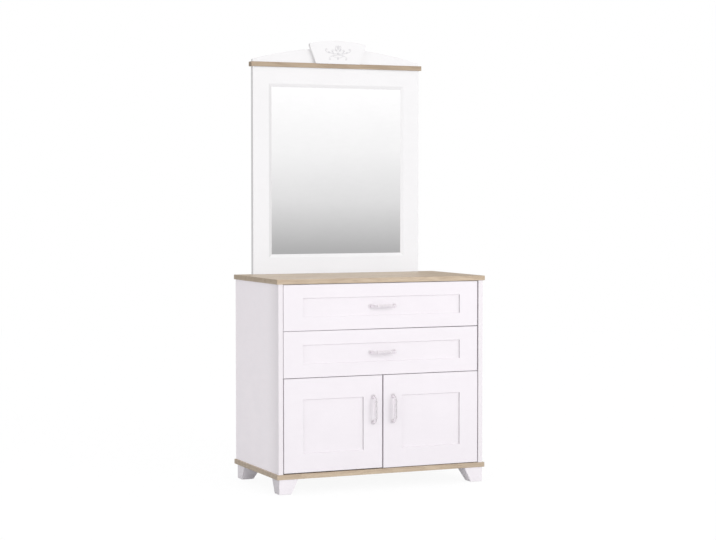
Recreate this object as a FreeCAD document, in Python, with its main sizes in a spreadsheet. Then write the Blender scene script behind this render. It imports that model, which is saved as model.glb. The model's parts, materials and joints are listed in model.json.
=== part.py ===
import FreeCAD, Part

import math
import os

import Sketcher
from FreeCAD import Rotation, Vector

# Dresser with a standing mirror: a two-drawer, two-door carcass between a worktop and a base
# board, on four tapered feet, with a framed mirror, cornice, arched pediment and keystone.
# Millimetres. X runs to the right, Y to the back, Z up. The floor is Z = 0 and the origin is
# under the middle of the whole object.

SIZES = {
    # carcass
    "carcass_width": 836,
    "carcass_depth": 460,
    "side_thickness": 18,
    "worktop_thickness": 18,
    "base_thickness": 18,
    "divider_thickness": 18,
    "rail_thickness": 18,
    "rail_height": 80,
    "top_side_overhang": 7,
    "top_front_overhang": 5,
    "base_side_overhang": 7,
    "base_front_overhang": 5,
    "back_thickness": 3,
    "back_inset": 8,
    "back_groove_depth": 6,
    "groove_clearance": 0.3,
    "inner_setback": 2,
    # shelf
    "shelf_thickness": 16,
    "shelf_rise": 172,
    "shelf_setback": 26,
    "shelf_end_clearance": 0.8,
    "shelf_pin_radius": 2.5,
    "shelf_pin_bore": 10,
    "shelf_pin_reach": 9,
    "shelf_pin_inset": 45,
    # feet
    "foot_height": 55,
    "foot_top_width": 75,
    "foot_bottom_width": 48,
    "foot_side_inset": 8.5,
    "foot_front_inset": 3,
    "foot_back_inset": 14,
    "glide_height": 2,
    "glide_radius": 11,
    # fronts
    "front_thickness": 18,
    "side_gap": 3,
    "level_gap": 2,
    "meeting_gap": 4.5,
    "front_round": 2.5,
    "door_height": 349,
    "drawer_front_height": 170.5,
    "front_stile": 76.5,
    "door_bottom_rail": 72,
    "door_top_rail": 78,
    "drawer_rail": 50,
    "recess_depth": 5,
    "recess_bevel": 1.5,
    # drawer boxes and their guide rails
    "box_back_clearance": 24,
    "box_side_gap": 6,
    "box_top_gap": 22.5,
    "box_rise": 28,
    "box_side_thickness": 12,
    "box_back_thickness": 12,
    "box_bottom_thickness": 3,
    "box_bottom_rise": 10,
    "box_bottom_groove": 6,
    "guide_height": 16,
    "guide_end_clearance": 10,
    "guide_bite": 5.5,
    "guide_side_clearance": 0.5,
    "guide_clearance": 0.3,
    "guide_rise": 50,
    "guide_screw_inset": 45,
    # joinery
    "dowel_radius": 4,
    "dowel_length": 30,
    "dowel_bite": 12,
    "dowel_inset": 60,
    "bore_clearance": 0.1,
    "cam_radius": 7.5,
    "cam_height": 12,
    "cam_setback": 34,
    "cam_inset": 105,
    "cam_bolt_radius": 3.5,
    "cam_bolt_bite": 11,
    # wood screws
    "screw_radius": 2,
    "screw_head_radius": 4,
    "screw_head_height": 2,
    "foot_screw_length": 42,
    "foot_screw_spacing": 30,
    "guide_screw_length": 22,
    "plate_screw_length": 14,
    # bow handles
    "handle_spacing": 96,
    "handle_projection": 32,
    "handle_grip_radius": 4,
    "handle_swell_radius": 5.5,
    "handle_bead_radius": 6,
    "handle_bead_offset": 30,
    "handle_grip_length": 74,
    "handle_neck_radius": 3,
    "handle_knee_radius": 3.2,
    "handle_leg_width": 7,
    "handle_leg_thickness": 5,
    "handle_fan_length": 20,
    "handle_fan_inner": 8,
    "handle_fan_outer": 19,
    "handle_fan_thickness": 3,
    "handle_boss_radius": 4.5,
    "handle_boss_height": 10,
    "handle_thread_depth": 8,
    "door_handle_edge": 38.25,
    "door_handle_drop": 127,
    # concealed cup hinges
    "hinge_inset": 65,
    "cup_edge_distance": 5,
    "cup_radius": 17.5,
    "cup_depth": 12.5,
    "cup_wall": 1,
    "cup_ear_reach": 30,
    "cup_ear_width": 12,
    "cup_ear_thickness": 1.2,
    "hinge_pin_radius": 1.5,
    "hinge_pin_clearance": 0.05,
    "hinge_pin_edge_distance": 13,
    "hinge_eye_radius": 3,
    "hinge_eye_clearance": 0.5,
    "hinge_arm_height": 12,
    "hinge_arm_thickness": 4,
    "hinge_arm_rise": 1,
    "hinge_base_width": 8,
    "hinge_base_length": 30,
    "hinge_plate_thickness": 2.5,
    "hinge_plate_height": 46,
    # door stop under the divider
    "stop_length": 300,
    "stop_height": 16,
    "stop_depth": 18,
    "stop_clearance": 0.3,
    # mirror
    "mirror_width": 706,
    "mirror_height": 802,
    "mirror_thickness": 22,
    "mirror_stile": 78.5,
    "mirror_bottom_rail": 77,
    "mirror_top_rail": 76.5,
    "mirror_bevel": 13,
    "mirror_bevel_depth": 4,
    "glass_thickness": 4,
    "glass_lap": 8,
    "glass_clearance": 0.5,
    "mirror_backing_thickness": 3,
    "glazing_bead_width": 9,
    "glazing_bead_inset": 1,
    "bracket_width": 30,
    "bracket_thickness": 2,
    "bracket_drop": 78,
    "bracket_rise": 62,
    "bracket_spacing": 500,
    "bracket_screw_margin": 15,
    "bracket_screw_pitch": 25,
    # crown
    "cornice_thickness": 18,
    "cornice_side_overhang": 9,
    "cornice_front_overhang": 9,
    "pediment_thickness": 16,
    "pediment_side_inset": 1,
    "pediment_end_height": 12,
    "pediment_height": 62,
    "keystone_thickness": 15,
    "keystone_bottom_width": 184,
    "keystone_top_width": 254,
    "keystone_height": 91.5,
    "keystone_arc_radius": 560,
    "keystone_corner": 8,
    "crown_dowel_length": 40,
    "crown_dowel_spacing": 250,
    "ornament_width": 114,
    "ornament_height": 62,
    "ornament_rise": 14,
    "ornament_thickness": 1.2,
}

doc = FreeCAD.newDocument("dresser")
sheet = doc.addObject("Spreadsheet::Sheet", "Sizes")
for row, (alias, size) in enumerate(SIZES.items(), start=1):
    sheet.set(f"A{row}", alias)
    sheet.set(f"B{row}", str(size))
    sheet.setAlias(f"B{row}", alias)
doc.recompute()


class Term:
    """A length written as an expression on the size sheet."""

    def __init__(self, text):
        self.text = text

    def value(self):
        found = sheet.evalExpression(self.text)
        return float(getattr(found, "Value", found))

    def __add__(self, other):
        return Term(f"({self.text} + {written(other)})")

    def __radd__(self, other):
        return Term(f"({written(other)} + {self.text})")

    def __sub__(self, other):
        return Term(f"({self.text} - {written(other)})")

    def __rsub__(self, other):
        return Term(f"({written(other)} - {self.text})")

    def __mul__(self, other):
        return Term(f"({self.text} * {written(other)})")

    def __rmul__(self, other):
        return Term(f"({written(other)} * {self.text})")

    def __truediv__(self, other):
        return Term(f"({self.text} / {written(other)})")

    def __neg__(self):
        return Term(f"(0 - {self.text})")


class Sheet:
    """Reads a size by its alias, as in s.carcass_width."""

    def __getattr__(self, alias):
        if alias not in SIZES:
            raise AttributeError(alias)
        return Term(f"Sizes.{alias}")


def written(number):
    """The expression text of a Term or of a plain number."""
    return number.text if isinstance(number, Term) else str(number)


def root(term):
    return Term(f"sqrt({term.text})")


def bearing(rise, run):
    """The angle of a line that rises and runs by these lengths, as an expression."""
    return Term(f"atan2({written(rise)}; {written(run)})")


def bind(obj, path, number):
    obj.setExpression(path, written(number))


# Turns that carry the +Z axis of a primitive to the named direction.
TURNS = {
    "+z": Rotation(),
    "-z": Rotation(Vector(1, 0, 0), 180),
    "+x": Rotation(Vector(0, 1, 0), 90),
    "-x": Rotation(Vector(0, 1, 0), -90),
    "+y": Rotation(Vector(1, 0, 0), -90),
    "-y": Rotation(Vector(1, 0, 0), 90),
}
STEPS = {"x": (1, 0, 0), "y": (0, 1, 0), "z": (0, 0, 1)}


def move(obj, x, y, z, turn=Rotation()):
    """Turns an object and ties its place to the sheet."""
    obj.Placement = FreeCAD.Placement(Vector(), turn)
    for path, number in (("x", x), ("y", y), ("z", z)):
        bind(obj, f".Placement.Base.{path}", number)
    return obj


def box(name, x, y, z, dx, dy, dz):
    obj = doc.addObject("Part::Box", name)
    bind(obj, "Length", dx)
    bind(obj, "Width", dy)
    bind(obj, "Height", dz)
    return move(obj, x, y, z)


def rod(name, x, y, z, radius, length, way="+z"):
    """A cylinder that starts at the point and runs the given way."""
    obj = doc.addObject("Part::Cylinder", name)
    bind(obj, "Radius", radius)
    bind(obj, "Height", length)
    return move(obj, x, y, z, TURNS[way])


def cone(name, x, y, z, start_radius, end_radius, length, way="+z"):
    obj = doc.addObject("Part::Cone", name)
    bind(obj, "Radius1", start_radius)
    bind(obj, "Radius2", end_radius)
    bind(obj, "Height", length)
    return move(obj, x, y, z, TURNS[way])


def ball(name, x, y, z, radius, poles="+z"):
    obj = doc.addObject("Part::Sphere", name)
    bind(obj, "Radius", radius)
    return move(obj, x, y, z, TURNS[poles])


def tapered_block(name, bottom, top, z, height):
    """A block between a bottom and a top rectangle, each given as (x0, x1, y0, y1)."""
    obj = doc.addObject("Part::Wedge", name)
    # the wedge grows along its own Y, which the turn stands up, and its own Z runs to -Y
    for path, number in (
        ("Xmin", bottom[0]), ("Xmax", bottom[1]), ("Zmin", -bottom[3]), ("Zmax", -bottom[2]),
        ("X2min", top[0]), ("X2max", top[1]), ("Z2min", -top[3]), ("Z2max", -top[2]),
        ("Ymin", 0), ("Ymax", height),
    ):
        bind(obj, path, number)
    return move(obj, 0, 0, z, TURNS["-y"])


def strap(name, sign, near, far, z, thickness, height):
    """A flat strap from one (x, y) point to another on one side, with a rounded far end."""
    (x0, y0), (x1, y1) = near, far
    run = sign * (x1 - x0)
    rise = y1 - y0
    angle = bearing(rise, run)
    half = thickness / 2
    stretch = doc.addObject("Part::Box", name)
    bind(stretch, "Length", root(run * run + rise * rise))
    bind(stretch, "Width", thickness)
    bind(stretch, "Height", height)
    stretch.Placement = FreeCAD.Placement(Vector(), Rotation(Vector(0, 0, 1), 1))
    bind(stretch, ".Placement.Rotation.Angle", angle)
    bind(stretch, ".Placement.Base.x", sign * x0 + half * Term(f"sin({angle.text})"))
    bind(stretch, ".Placement.Base.y", y0 - half * Term(f"cos({angle.text})"))
    bind(stretch, ".Placement.Base.z", z)
    return [stretch, rod(f"{name}_end", sign * x1, y1, z, half, height)]


def group(name, parts):
    """Separate solids that share one node."""
    obj = doc.addObject("Part::Compound", name)
    obj.Links = parts
    return obj


def fuse(name, parts):
    obj = doc.addObject("Part::MultiFuse", name)
    obj.Shapes = parts
    obj.Refine = True
    return obj


def cut(name, base, tools):
    if not tools:
        return base
    obj = doc.addObject("Part::Cut", name)
    obj.Base = base
    obj.Tool = tools[0] if len(tools) == 1 else group(f"{name}_tools", tools)
    return obj


def common(name, first, second):
    obj = doc.addObject("Part::Common", name)
    obj.Base = first
    obj.Tool = second
    return obj


NODES = {}
BORES = {}


def node(name, obj):
    """Names a finished sub-part; the name is also its file's."""
    obj.Label = name
    NODES[name] = obj
    return obj


def bore(tool, *boards):
    """Notes a hole that passes through the named boards."""
    for board in boards:
        BORES.setdefault(board, []).append(tool)


def board(name, x, y, z, dx, dy, dz):
    """A flat board with all the holes and grooves that were noted for it."""
    plain = box(f"{name}_blank", x, y, z, dx, dy, dz)
    return node(name, cut(f"{name}_cut", plain, BORES.get(name, [])))


s = Sheet()
SIDES = (("left", -1), ("right", 1))


def start(sign, inner, outer):
    """The low X of a piece that reaches from inner to outer on one side."""
    return inner if sign > 0 else -outer


# ---- places that follow from the sizes ----
half_width = s.carcass_width / 2
half_opening = half_width - s.side_thickness
front = (s.handle_projection - s.carcass_depth - s.bracket_thickness - s.screw_head_height) / 2
back = front + s.carcass_depth
front_back = front + s.front_thickness
inner_front = front_back + s.inner_setback
base_bottom = s.glide_height + s.foot_height
base_top = base_bottom + s.base_thickness
side_height = s.door_height + 2 * s.drawer_front_height + 4 * s.level_gap
top_underside = base_top + side_height
worktop_top = top_underside + s.worktop_thickness
door_bottom = base_top + s.level_gap
door_top = door_bottom + s.door_height
lower_drawer_bottom = door_top + s.level_gap
upper_drawer_bottom = lower_drawer_bottom + s.drawer_front_height + s.level_gap
divider_bottom = door_top + s.level_gap / 2
back_front = back - s.back_inset - s.back_thickness
mirror_top = worktop_top + s.mirror_height
mirror_front = back - s.mirror_thickness
crown_bottom = mirror_top + s.cornice_thickness
door_width = half_opening - s.side_gap - s.meeting_gap / 2
drawer_front_width = 2 * (half_opening - s.side_gap)
box_depth = back - s.rail_thickness - s.box_back_clearance - front_back
box_height = s.drawer_front_height - s.box_rise - s.box_top_gap
guide_length = box_depth - s.guide_end_clearance


# ---- carcass joinery ----
dowels = []
cams = []
cam_bolts = []


def dowel(x, y, z, way, boards, length=s.dowel_length):
    """A dowel that starts at the point, with its holes in both boards."""
    dowels.append(rod("dowel", x, y, z, s.dowel_radius, length, way))
    bore(rod("dowel_bore", x, y, z, s.dowel_radius + s.bore_clearance, length, way), *boards)


def cam_and_bolt(face, cam_way, edge, bolt_way, boards):
    """A cam disc sunk in a board's face and the bolt that ties it to the next board.

    face is the cam's middle on that face, edge the point of the bolt's foot in the other board.
    """
    held, other = boards
    bolt_length = s.cam_bolt_bite + s.cam_setback - s.cam_radius
    cams.append(rod("cam", *face, s.cam_radius, s.cam_height, cam_way))
    bore(rod("cam_bore", *face, s.cam_radius + s.bore_clearance, s.cam_height, cam_way), held)
    cam_bolts.append(rod("cam_bolt", *edge, s.cam_bolt_radius, bolt_length, bolt_way))
    bolt_bore = s.cam_bolt_radius + s.bore_clearance
    bore(rod("cam_bolt_bore", *edge, bolt_bore, bolt_length, bolt_way), held, other)


def join_side(side, sign):
    """Dowels and cams between one side panel and the worktop, base board, divider and rail."""
    panel = f"{side}_side_panel"
    middle = sign * (half_width - s.side_thickness / 2)
    face = sign * half_opening
    outwards, inwards = ("+x", "-x") if sign > 0 else ("-x", "+x")
    for y in (front + s.dowel_inset, back - s.dowel_inset):
        dowel(middle, y, base_top - s.dowel_bite, "+z", (panel, "base_board"))
        dowel(middle, y, top_underside + s.dowel_bite, "-z", (panel, "worktop"))
    for y in (front + s.cam_inset, back - s.cam_inset):
        low = (face, y, base_top + s.cam_setback)
        foot = (middle, y, base_top - s.cam_bolt_bite)
        cam_and_bolt(low, outwards, foot, "+z", (panel, "base_board"))
        high = (face, y, top_underside - s.cam_setback)
        head = (middle, y, top_underside + s.cam_bolt_bite)
        cam_and_bolt(high, outwards, head, "-z", (panel, "worktop"))
    divider_middle = divider_bottom + s.divider_thickness / 2
    end = sign * (half_opening + s.dowel_bite)
    for y in (inner_front + s.dowel_inset, back_front - s.dowel_inset):
        dowel(end, y, divider_middle, inwards, (panel, "divider_board"))
    bolt_end = sign * (half_opening + s.cam_bolt_bite)
    cam_x = sign * (half_opening - s.cam_setback)
    for y in (inner_front + s.cam_inset, back_front - s.cam_inset):
        under = (cam_x, y, divider_bottom)
        cam_and_bolt(under, "+z", (bolt_end, y, divider_middle), inwards, ("divider_board", panel))
    for share in (1 / 4, 3 / 4):
        z = top_underside - share * s.rail_height
        dowel(end, back - s.rail_thickness / 2, z, inwards, (panel, "back_rail"))


for side_name, side_sign in SIDES:
    join_side(side_name, side_sign)


def groove_for_back(side, sign):
    depth = s.back_groove_depth
    groove = box(
        f"{side}_back_groove", start(sign, half_opening, half_opening + depth),
        back_front - s.groove_clearance / 2, base_top,
        depth, s.back_thickness + s.groove_clearance, side_height - s.rail_height,
    )
    bore(groove, f"{side}_side_panel")


for side_name, side_sign in SIDES:
    groove_for_back(side_name, side_sign)


# ---- feet, glides and their screws ----
def foot(name, sign, y_outer, y_way):
    """A tapered foot with upright outer faces; y_way points from its outer face inwards."""
    outer = half_width + s.base_side_overhang - s.foot_side_inset

    def footprint(width):
        across = (start(sign, outer - width, outer), start(sign, outer - width, outer) + width)
        along = (y_outer, y_outer + width) if y_way > 0 else (y_outer - width, y_outer)
        return across + along

    block = tapered_block(
        f"{name}_block", footprint(s.foot_bottom_width), footprint(s.foot_top_width),
        s.glide_height, s.foot_height,
    )
    glide_inset = s.foot_bottom_width / 2
    glide_at = (sign * (outer - glide_inset), y_outer + y_way * glide_inset)
    glides.append(rod("glide", *glide_at, 0, s.glide_radius, s.glide_height))
    # the screws stand in line, clear of the side panel, and go down through the base board
    screw_x = sign * (half_opening - 2 * s.screw_head_radius - s.screw_head_height)
    for step in (-1 / 2, 1 / 2):
        screw_y = y_outer + y_way * s.foot_top_width / 2 + step * s.foot_screw_spacing
        foot_screws.append(flush_screw(screw_x, screw_y, base_top, "-z", s.foot_screw_length,
                                       (name, "base_board")))
    node(name, cut(f"{name}_cut", block, BORES[name]))


def flush_screw(x, y, z, way, length, boards):
    """A countersunk wood screw with its head flush at the point, and its hole in the boards."""
    steps = STEPS[way[1]]
    sense = 1 if way[0] == "+" else -1
    sunk = [at + sense * step * s.screw_head_height for at, step in zip((x, y, z), steps)]
    shank_length = length - s.screw_head_height
    wide = s.bore_clearance
    head = cone("screw_head", x, y, z, s.screw_head_radius, s.screw_radius,
                s.screw_head_height, way)
    shank = rod("screw_shank", *sunk, s.screw_radius, shank_length, way)
    head_bore = cone("screw_head_bore", x, y, z, s.screw_head_radius + wide,
                     s.screw_radius + wide, s.screw_head_height, way)
    shank_bore = rod("screw_shank_bore", *sunk, s.screw_radius + wide, shank_length, way)
    bore(fuse("screw_bore", [head_bore, shank_bore]), *boards)
    return fuse("screw", [head, shank])


def pan_screw(x, y, z, way, length, boards):
    """A pan-head screw: its head stands behind the point and its shank runs the given way."""
    steps = STEPS[way[1]]
    sense = 1 if way[0] == "+" else -1
    raised = [at - sense * step * s.screw_head_height for at, step in zip((x, y, z), steps)]
    head = rod("screw_head", *raised, s.screw_head_radius, s.screw_head_height, way)
    shank = rod("screw_shank", x, y, z, s.screw_radius, length, way)
    bore(rod("screw_bore", x, y, z, s.screw_radius + s.bore_clearance, length, way), *boards)
    return fuse("screw", [head, shank])


glides = []
foot_screws = []
front_foot_y = front - s.base_front_overhang + s.foot_front_inset
back_foot_y = back - s.foot_back_inset
for side_name, side_sign in SIDES:
    foot(f"front_{side_name}_foot", side_sign, front_foot_y, 1)
    foot(f"back_{side_name}_foot", side_sign, back_foot_y, -1)
node("foot_glides", group("foot_glide_group", glides))
node("foot_screws", group("foot_screw_group", foot_screws))


# ---- drawer guide rails ----
def guide_rail(side, sign, drawer_bottom):
    """A rail on the side panel that runs in the groove of a drawer's side."""
    depth = s.box_side_gap + s.guide_bite
    z = drawer_bottom + s.box_rise + s.guide_rise + s.guide_clearance
    name = f"{side}_guide"
    inner = half_opening - depth
    rail = box(name, start(sign, inner, half_opening), front_back + s.guide_clearance, z,
               depth, guide_length, s.guide_height)
    way = "+x" if sign > 0 else "-x"
    screw_z = z + s.guide_height / 2
    rail_front = front_back + s.guide_clearance
    BORES[name] = []
    for y in (rail_front + s.guide_screw_inset, rail_front + guide_length / 2,
              rail_front + guide_length - s.guide_screw_inset):
        guide_screws.append(flush_screw(sign * inner, y, screw_z, way, s.guide_screw_length,
                                        (name, f"{side}_side_panel")))
    return cut(f"{name}_cut", rail, BORES[name])


guide_screws = []
guides = []
for side_name, side_sign in SIDES:
    for drawer_z in (lower_drawer_bottom, upper_drawer_bottom):
        guides.append(guide_rail(side_name, side_sign, drawer_z))
node("drawer_guides", group("guide_group", guides))
node("guide_screws", group("guide_screw_group", guide_screws))


# ---- concealed hinges: the arm stays on the side panel, the cup and pin ride on the door ----
pin_x = half_opening - s.side_gap - s.hinge_pin_edge_distance
cup_floor = front_back - s.cup_depth + s.cup_wall
pin_y = cup_floor + s.hinge_eye_clearance + s.hinge_eye_radius
cup_x = half_opening - s.side_gap - s.cup_edge_distance - s.cup_radius
# the pin ends inside the cup's round wall, where its outer side comes nearest to the wall
pin_outer = pin_x - cup_x + s.hinge_pin_radius
pin_half_length = root(s.cup_radius * s.cup_radius - pin_outer * pin_outer) - s.bore_clearance
hinge_heights = (door_bottom + s.hinge_inset, door_top - s.hinge_inset)


def hinge_arm(side, sign, height):
    """A gooseneck arm from its plate on the side panel round the door's edge to the pin."""
    z = height - s.hinge_arm_height / 2
    inside_cup = (pin_x - s.hinge_eye_radius - 2 * s.hinge_arm_thickness,
                  pin_y + s.hinge_arm_rise)
    above_cup = (inside_cup[0] - s.hinge_arm_thickness, front_back + s.hinge_arm_thickness)
    crook = (above_cup[0] + 2 * s.hinge_arm_thickness, above_cup[1] + 2 * s.hinge_arm_thickness)
    base_y = crook[1] + s.hinge_arm_thickness / 2
    at_base = (half_opening - s.hinge_base_width / 2, base_y + s.hinge_arm_thickness)
    route = ((pin_x, pin_y), inside_cup, above_cup, crook, at_base)
    parts = [rod("arm_eye", sign * pin_x, pin_y, z, s.hinge_eye_radius, s.hinge_arm_height)]
    for near, far in zip(route, route[1:]):
        parts += strap("arm_link", sign, near, far, z, s.hinge_arm_thickness,
                       s.hinge_arm_height)
    base_inner = half_opening - s.hinge_base_width
    parts.append(box("arm_base", start(sign, base_inner, half_opening), base_y, z,
                     s.hinge_base_width, s.hinge_base_length, s.hinge_arm_height))
    plate_inner = half_opening - s.hinge_plate_thickness
    parts.append(box("arm_plate", start(sign, plate_inner, half_opening), base_y,
                     height - s.hinge_plate_height / 2, s.hinge_plate_thickness,
                     s.hinge_base_length, s.hinge_plate_height))
    name = f"{side}_arm"
    BORES[name] = [rod("eye_bore", sign * pin_x, pin_y, z,
                       s.hinge_pin_radius + s.hinge_pin_clearance, s.hinge_arm_height)]
    way = "+x" if sign > 0 else "-x"
    for step in (-1, 1):
        screw_z = height + step * (s.hinge_arm_height / 2 + s.hinge_plate_height / 2) / 2
        plate_screws.append(pan_screw(sign * plate_inner, base_y + s.hinge_base_length / 2,
                                      screw_z, way, s.plate_screw_length,
                                      (name, f"{side}_side_panel")))
    return cut(f"{name}_cut", fuse(f"{name}_fuse", parts), BORES[name])


plate_screws = []
arms = []
for side_name, side_sign in SIDES:
    for hinge_z in hinge_heights:
        arms.append(hinge_arm(side_name, side_sign, hinge_z))
node("hinge_arms", group("hinge_arm_group", arms))
node("hinge_plate_screws", group("plate_screw_group", plate_screws))


def hinge_cup(sign, height):
    """A steel cup let into the door's back, with screw ears above and below."""
    outer = rod("cup_shell", sign * cup_x, front_back, height, s.cup_radius, s.cup_depth, "-y")
    hollow = rod("cup_hollow", sign * cup_x, front_back + s.cup_ear_thickness, height,
                 s.cup_radius - s.cup_wall,
                 s.cup_depth + s.cup_ear_thickness - s.cup_wall, "-y")
    ears = box("cup_ears", sign * cup_x - s.cup_ear_width / 2, front_back,
               height - s.cup_ear_reach, s.cup_ear_width, s.cup_ear_thickness,
               2 * s.cup_ear_reach)
    pin_hole = rod("cup_pin_hole", sign * pin_x, pin_y, height - pin_half_length,
                   s.hinge_pin_radius, 2 * pin_half_length)
    return cut("cup", fuse("cup_body", [outer, ears]), [hollow, pin_hole])


for side_name, side_sign in SIDES:
    cups = [hinge_cup(side_sign, hinge_z) for hinge_z in hinge_heights]
    node(f"{side_name}_hinge_cups", group("cup_group", cups))
    pins = [
        rod("hinge_pin", side_sign * pin_x, pin_y, hinge_z - pin_half_length,
            s.hinge_pin_radius, 2 * pin_half_length)
        for hinge_z in hinge_heights
    ]
    node(f"{side_name}_hinge_pins", group("pin_group", pins))


# ---- shelf pins ----
shelf_front = inner_front + s.shelf_setback
shelf_bottom = base_top + s.shelf_rise
pin_length = s.shelf_pin_bore + s.shelf_pin_reach
shelf_pins = []
for side_name, side_sign in SIDES:
    for pin_at in (shelf_front + s.shelf_pin_inset, back_front - s.shelf_pin_inset):
        pin_end = (side_sign * (half_opening + s.shelf_pin_bore), pin_at,
                   shelf_bottom - s.shelf_pin_radius)
        pin_way = "-x" if side_sign > 0 else "+x"
        shelf_pins.append(rod("shelf_pin", *pin_end, s.shelf_pin_radius, pin_length, pin_way))
        bore(rod("shelf_pin_bore", *pin_end, s.shelf_pin_radius + s.bore_clearance,
                 s.shelf_pin_bore, pin_way), f"{side_name}_side_panel")
node("shelf_pins", group("shelf_pin_group", shelf_pins))


# ---- mirror brackets, screwed to the rail and to the mirror's frame ----
bracket_bottom = worktop_top - s.bracket_drop
bracket_top = worktop_top + s.bracket_rise
brackets = []
bracket_screws = []
for side_name, side_sign in SIDES:
    bracket_x = side_sign * s.bracket_spacing / 2
    plain_bracket = box("bracket_plate", bracket_x - s.bracket_width / 2, back, bracket_bottom,
                        s.bracket_width, s.bracket_thickness, bracket_top - bracket_bottom)
    BORES["bracket"] = []
    low_screw = bracket_bottom + s.bracket_screw_margin
    high_screw = bracket_top - s.bracket_screw_margin
    for screw_z, held_board in (
        (low_screw, "back_rail"), (low_screw + s.bracket_screw_pitch, "back_rail"),
        (high_screw - s.bracket_screw_pitch, "mirror_panel"), (high_screw, "mirror_panel"),
    ):
        bracket_screws.append(pan_screw(bracket_x, back + s.bracket_thickness, screw_z, "-y",
                                        s.plate_screw_length, ("bracket", held_board)))
    brackets.append(cut("bracket", plain_bracket, BORES["bracket"]))
node("mirror_brackets", group("bracket_group", brackets))
node("bracket_screws", group("bracket_screw_group", bracket_screws))


# ---- crown dowels: mirror frame, cornice and pediment ----
crown_dowels = []
crown_dowel_y = back - s.pediment_thickness / 2
crown_dowel_bottom = mirror_top - (s.crown_dowel_length - s.cornice_thickness) / 2
for step in (-1, 0, 1):
    crown_at = (step * s.crown_dowel_spacing, crown_dowel_y, crown_dowel_bottom)
    crown_dowels.append(rod("crown_dowel", *crown_at, s.dowel_radius, s.crown_dowel_length))
    bore(rod("crown_dowel_bore", *crown_at, s.dowel_radius + s.bore_clearance,
             s.crown_dowel_length), "mirror_panel", "cornice", "pediment")
node("crown_dowels", group("crown_dowel_group", crown_dowels))


# ---- flat boards ----
for side_name, side_sign in SIDES:
    board(f"{side_name}_side_panel", start(side_sign, half_opening, half_width), front, base_top,
          s.side_thickness, s.carcass_depth, side_height)
board("worktop", -half_width - s.top_side_overhang, front - s.top_front_overhang, top_underside,
      s.carcass_width + 2 * s.top_side_overhang, s.carcass_depth + s.top_front_overhang,
      s.worktop_thickness)
board("base_board", -half_width - s.base_side_overhang, front - s.base_front_overhang,
      base_bottom, s.carcass_width + 2 * s.base_side_overhang,
      s.carcass_depth + s.base_front_overhang, s.base_thickness)
board("divider_board", -half_opening, inner_front, divider_bottom, 2 * half_opening,
      back_front - inner_front, s.divider_thickness)
board("back_rail", -half_opening, back - s.rail_thickness, top_underside - s.rail_height,
      2 * half_opening, s.rail_thickness, s.rail_height)
back_reach = half_opening + s.back_groove_depth - s.groove_clearance
board("back_panel", -back_reach, back_front, base_top, 2 * back_reach, s.back_thickness,
      side_height - s.rail_height)
shelf_half = half_opening - s.shelf_end_clearance
board("adjustable_shelf", -shelf_half, shelf_front, shelf_bottom, 2 * shelf_half,
      back_front - s.shelf_end_clearance - shelf_front, s.shelf_thickness)
board("door_stop", -s.stop_length / 2, front_back + s.stop_clearance,
      divider_bottom - s.stop_height, s.stop_length, s.stop_depth, s.stop_height)
node("carcass_dowels", group("dowel_group", dowels))
node("cam_locks", group("cam_group", cams))
node("cam_bolts", group("cam_bolt_group", cam_bolts))


# ---- sketches on a body's own planes ----
def plane_of(body, role):
    return next(plane for plane in body.Origin.OriginFeatures if plane.Role == role)


def new_sketch(body, name, offset=0):
    """A sketch on the body's XZ plane, or on a plane that far behind it."""
    sketch = body.newObject("Sketcher::SketchObject", name)
    sketch.AttachmentSupport = [(plane_of(body, "XZ_Plane"), "")]
    sketch.MapMode = "FlatFace"
    # the plane's normal points to -Y
    bind(sketch, ".AttachmentOffset.Base.z", -offset)
    return sketch


def tie(sketch, kind, *ends):
    """Adds a dimension whose last entry is a Term and ties it to the sheet."""
    *where, length = ends
    index = sketch.addConstraint(Sketcher.Constraint(kind, *where, length.value()))
    bind(sketch, f"Constraints[{index}]", length)


def rectangle(body, name, left, right, bottom, top, offset=0):
    """A rectangle sketch held by its distances from the body's origin."""
    sketch = new_sketch(body, name, offset)
    corners = [
        Vector(u.value(), v.value())
        for u, v in ((left, bottom), (right, bottom), (right, top), (left, top))
    ]
    for i in range(4):
        sketch.addGeometry(Part.LineSegment(corners[i], corners[(i + 1) % 4]), False)
    for i in range(4):
        sketch.addConstraint(Sketcher.Constraint("Coincident", i, 2, (i + 1) % 4, 1))
        sketch.addConstraint(Sketcher.Constraint("Horizontal" if i % 2 == 0 else "Vertical", i))
    tie(sketch, "DistanceX", -1, 1, 0, 1, left)
    tie(sketch, "DistanceX", -1, 1, 2, 1, right)
    tie(sketch, "DistanceY", -1, 1, 0, 1, bottom)
    tie(sketch, "DistanceY", -1, 1, 2, 1, top)
    return sketch


def circles(body, name, centres, radius, offset=0):
    """Equal circles at (u, v) distances from the body's origin."""
    sketch = new_sketch(body, name, offset)
    for i, (u, v) in enumerate(centres):
        middle = Vector(u.value(), v.value())
        sketch.addGeometry(Part.Circle(middle, Vector(0, 0, 1), radius.value()), False)
        tie(sketch, "DistanceX", -1, 1, i, 3, u)
        tie(sketch, "DistanceY", -1, 1, i, 3, v)
        tie(sketch, "Radius", i, radius)
    return sketch


def pad(body, name, sketch, length):
    feature = body.newObject("PartDesign::Pad", name)
    feature.Profile = sketch
    feature.Reversed = True
    bind(feature, "Length", length)
    return feature


def pocket(body, name, sketch, depth, from_back=False, bevel=None):
    """A pocket into the body; a bevel (width, depth) slopes its walls."""
    doc.recompute()
    before = body.Shape.Volume
    feature = body.newObject("PartDesign::Pocket", name)
    feature.Profile = sketch
    feature.Reversed = from_back
    bind(feature, "Length", depth)
    if bevel:
        bind(feature, "TaperAngle", Term(f"-1 * {bearing(*bevel).text}"))
    doc.recompute()
    if body.Shape.Volume >= before:
        raise RuntimeError(f"{name} cuts nothing")
    return feature


ZERO = Term("0")
TOUCH = 1e-4


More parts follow.
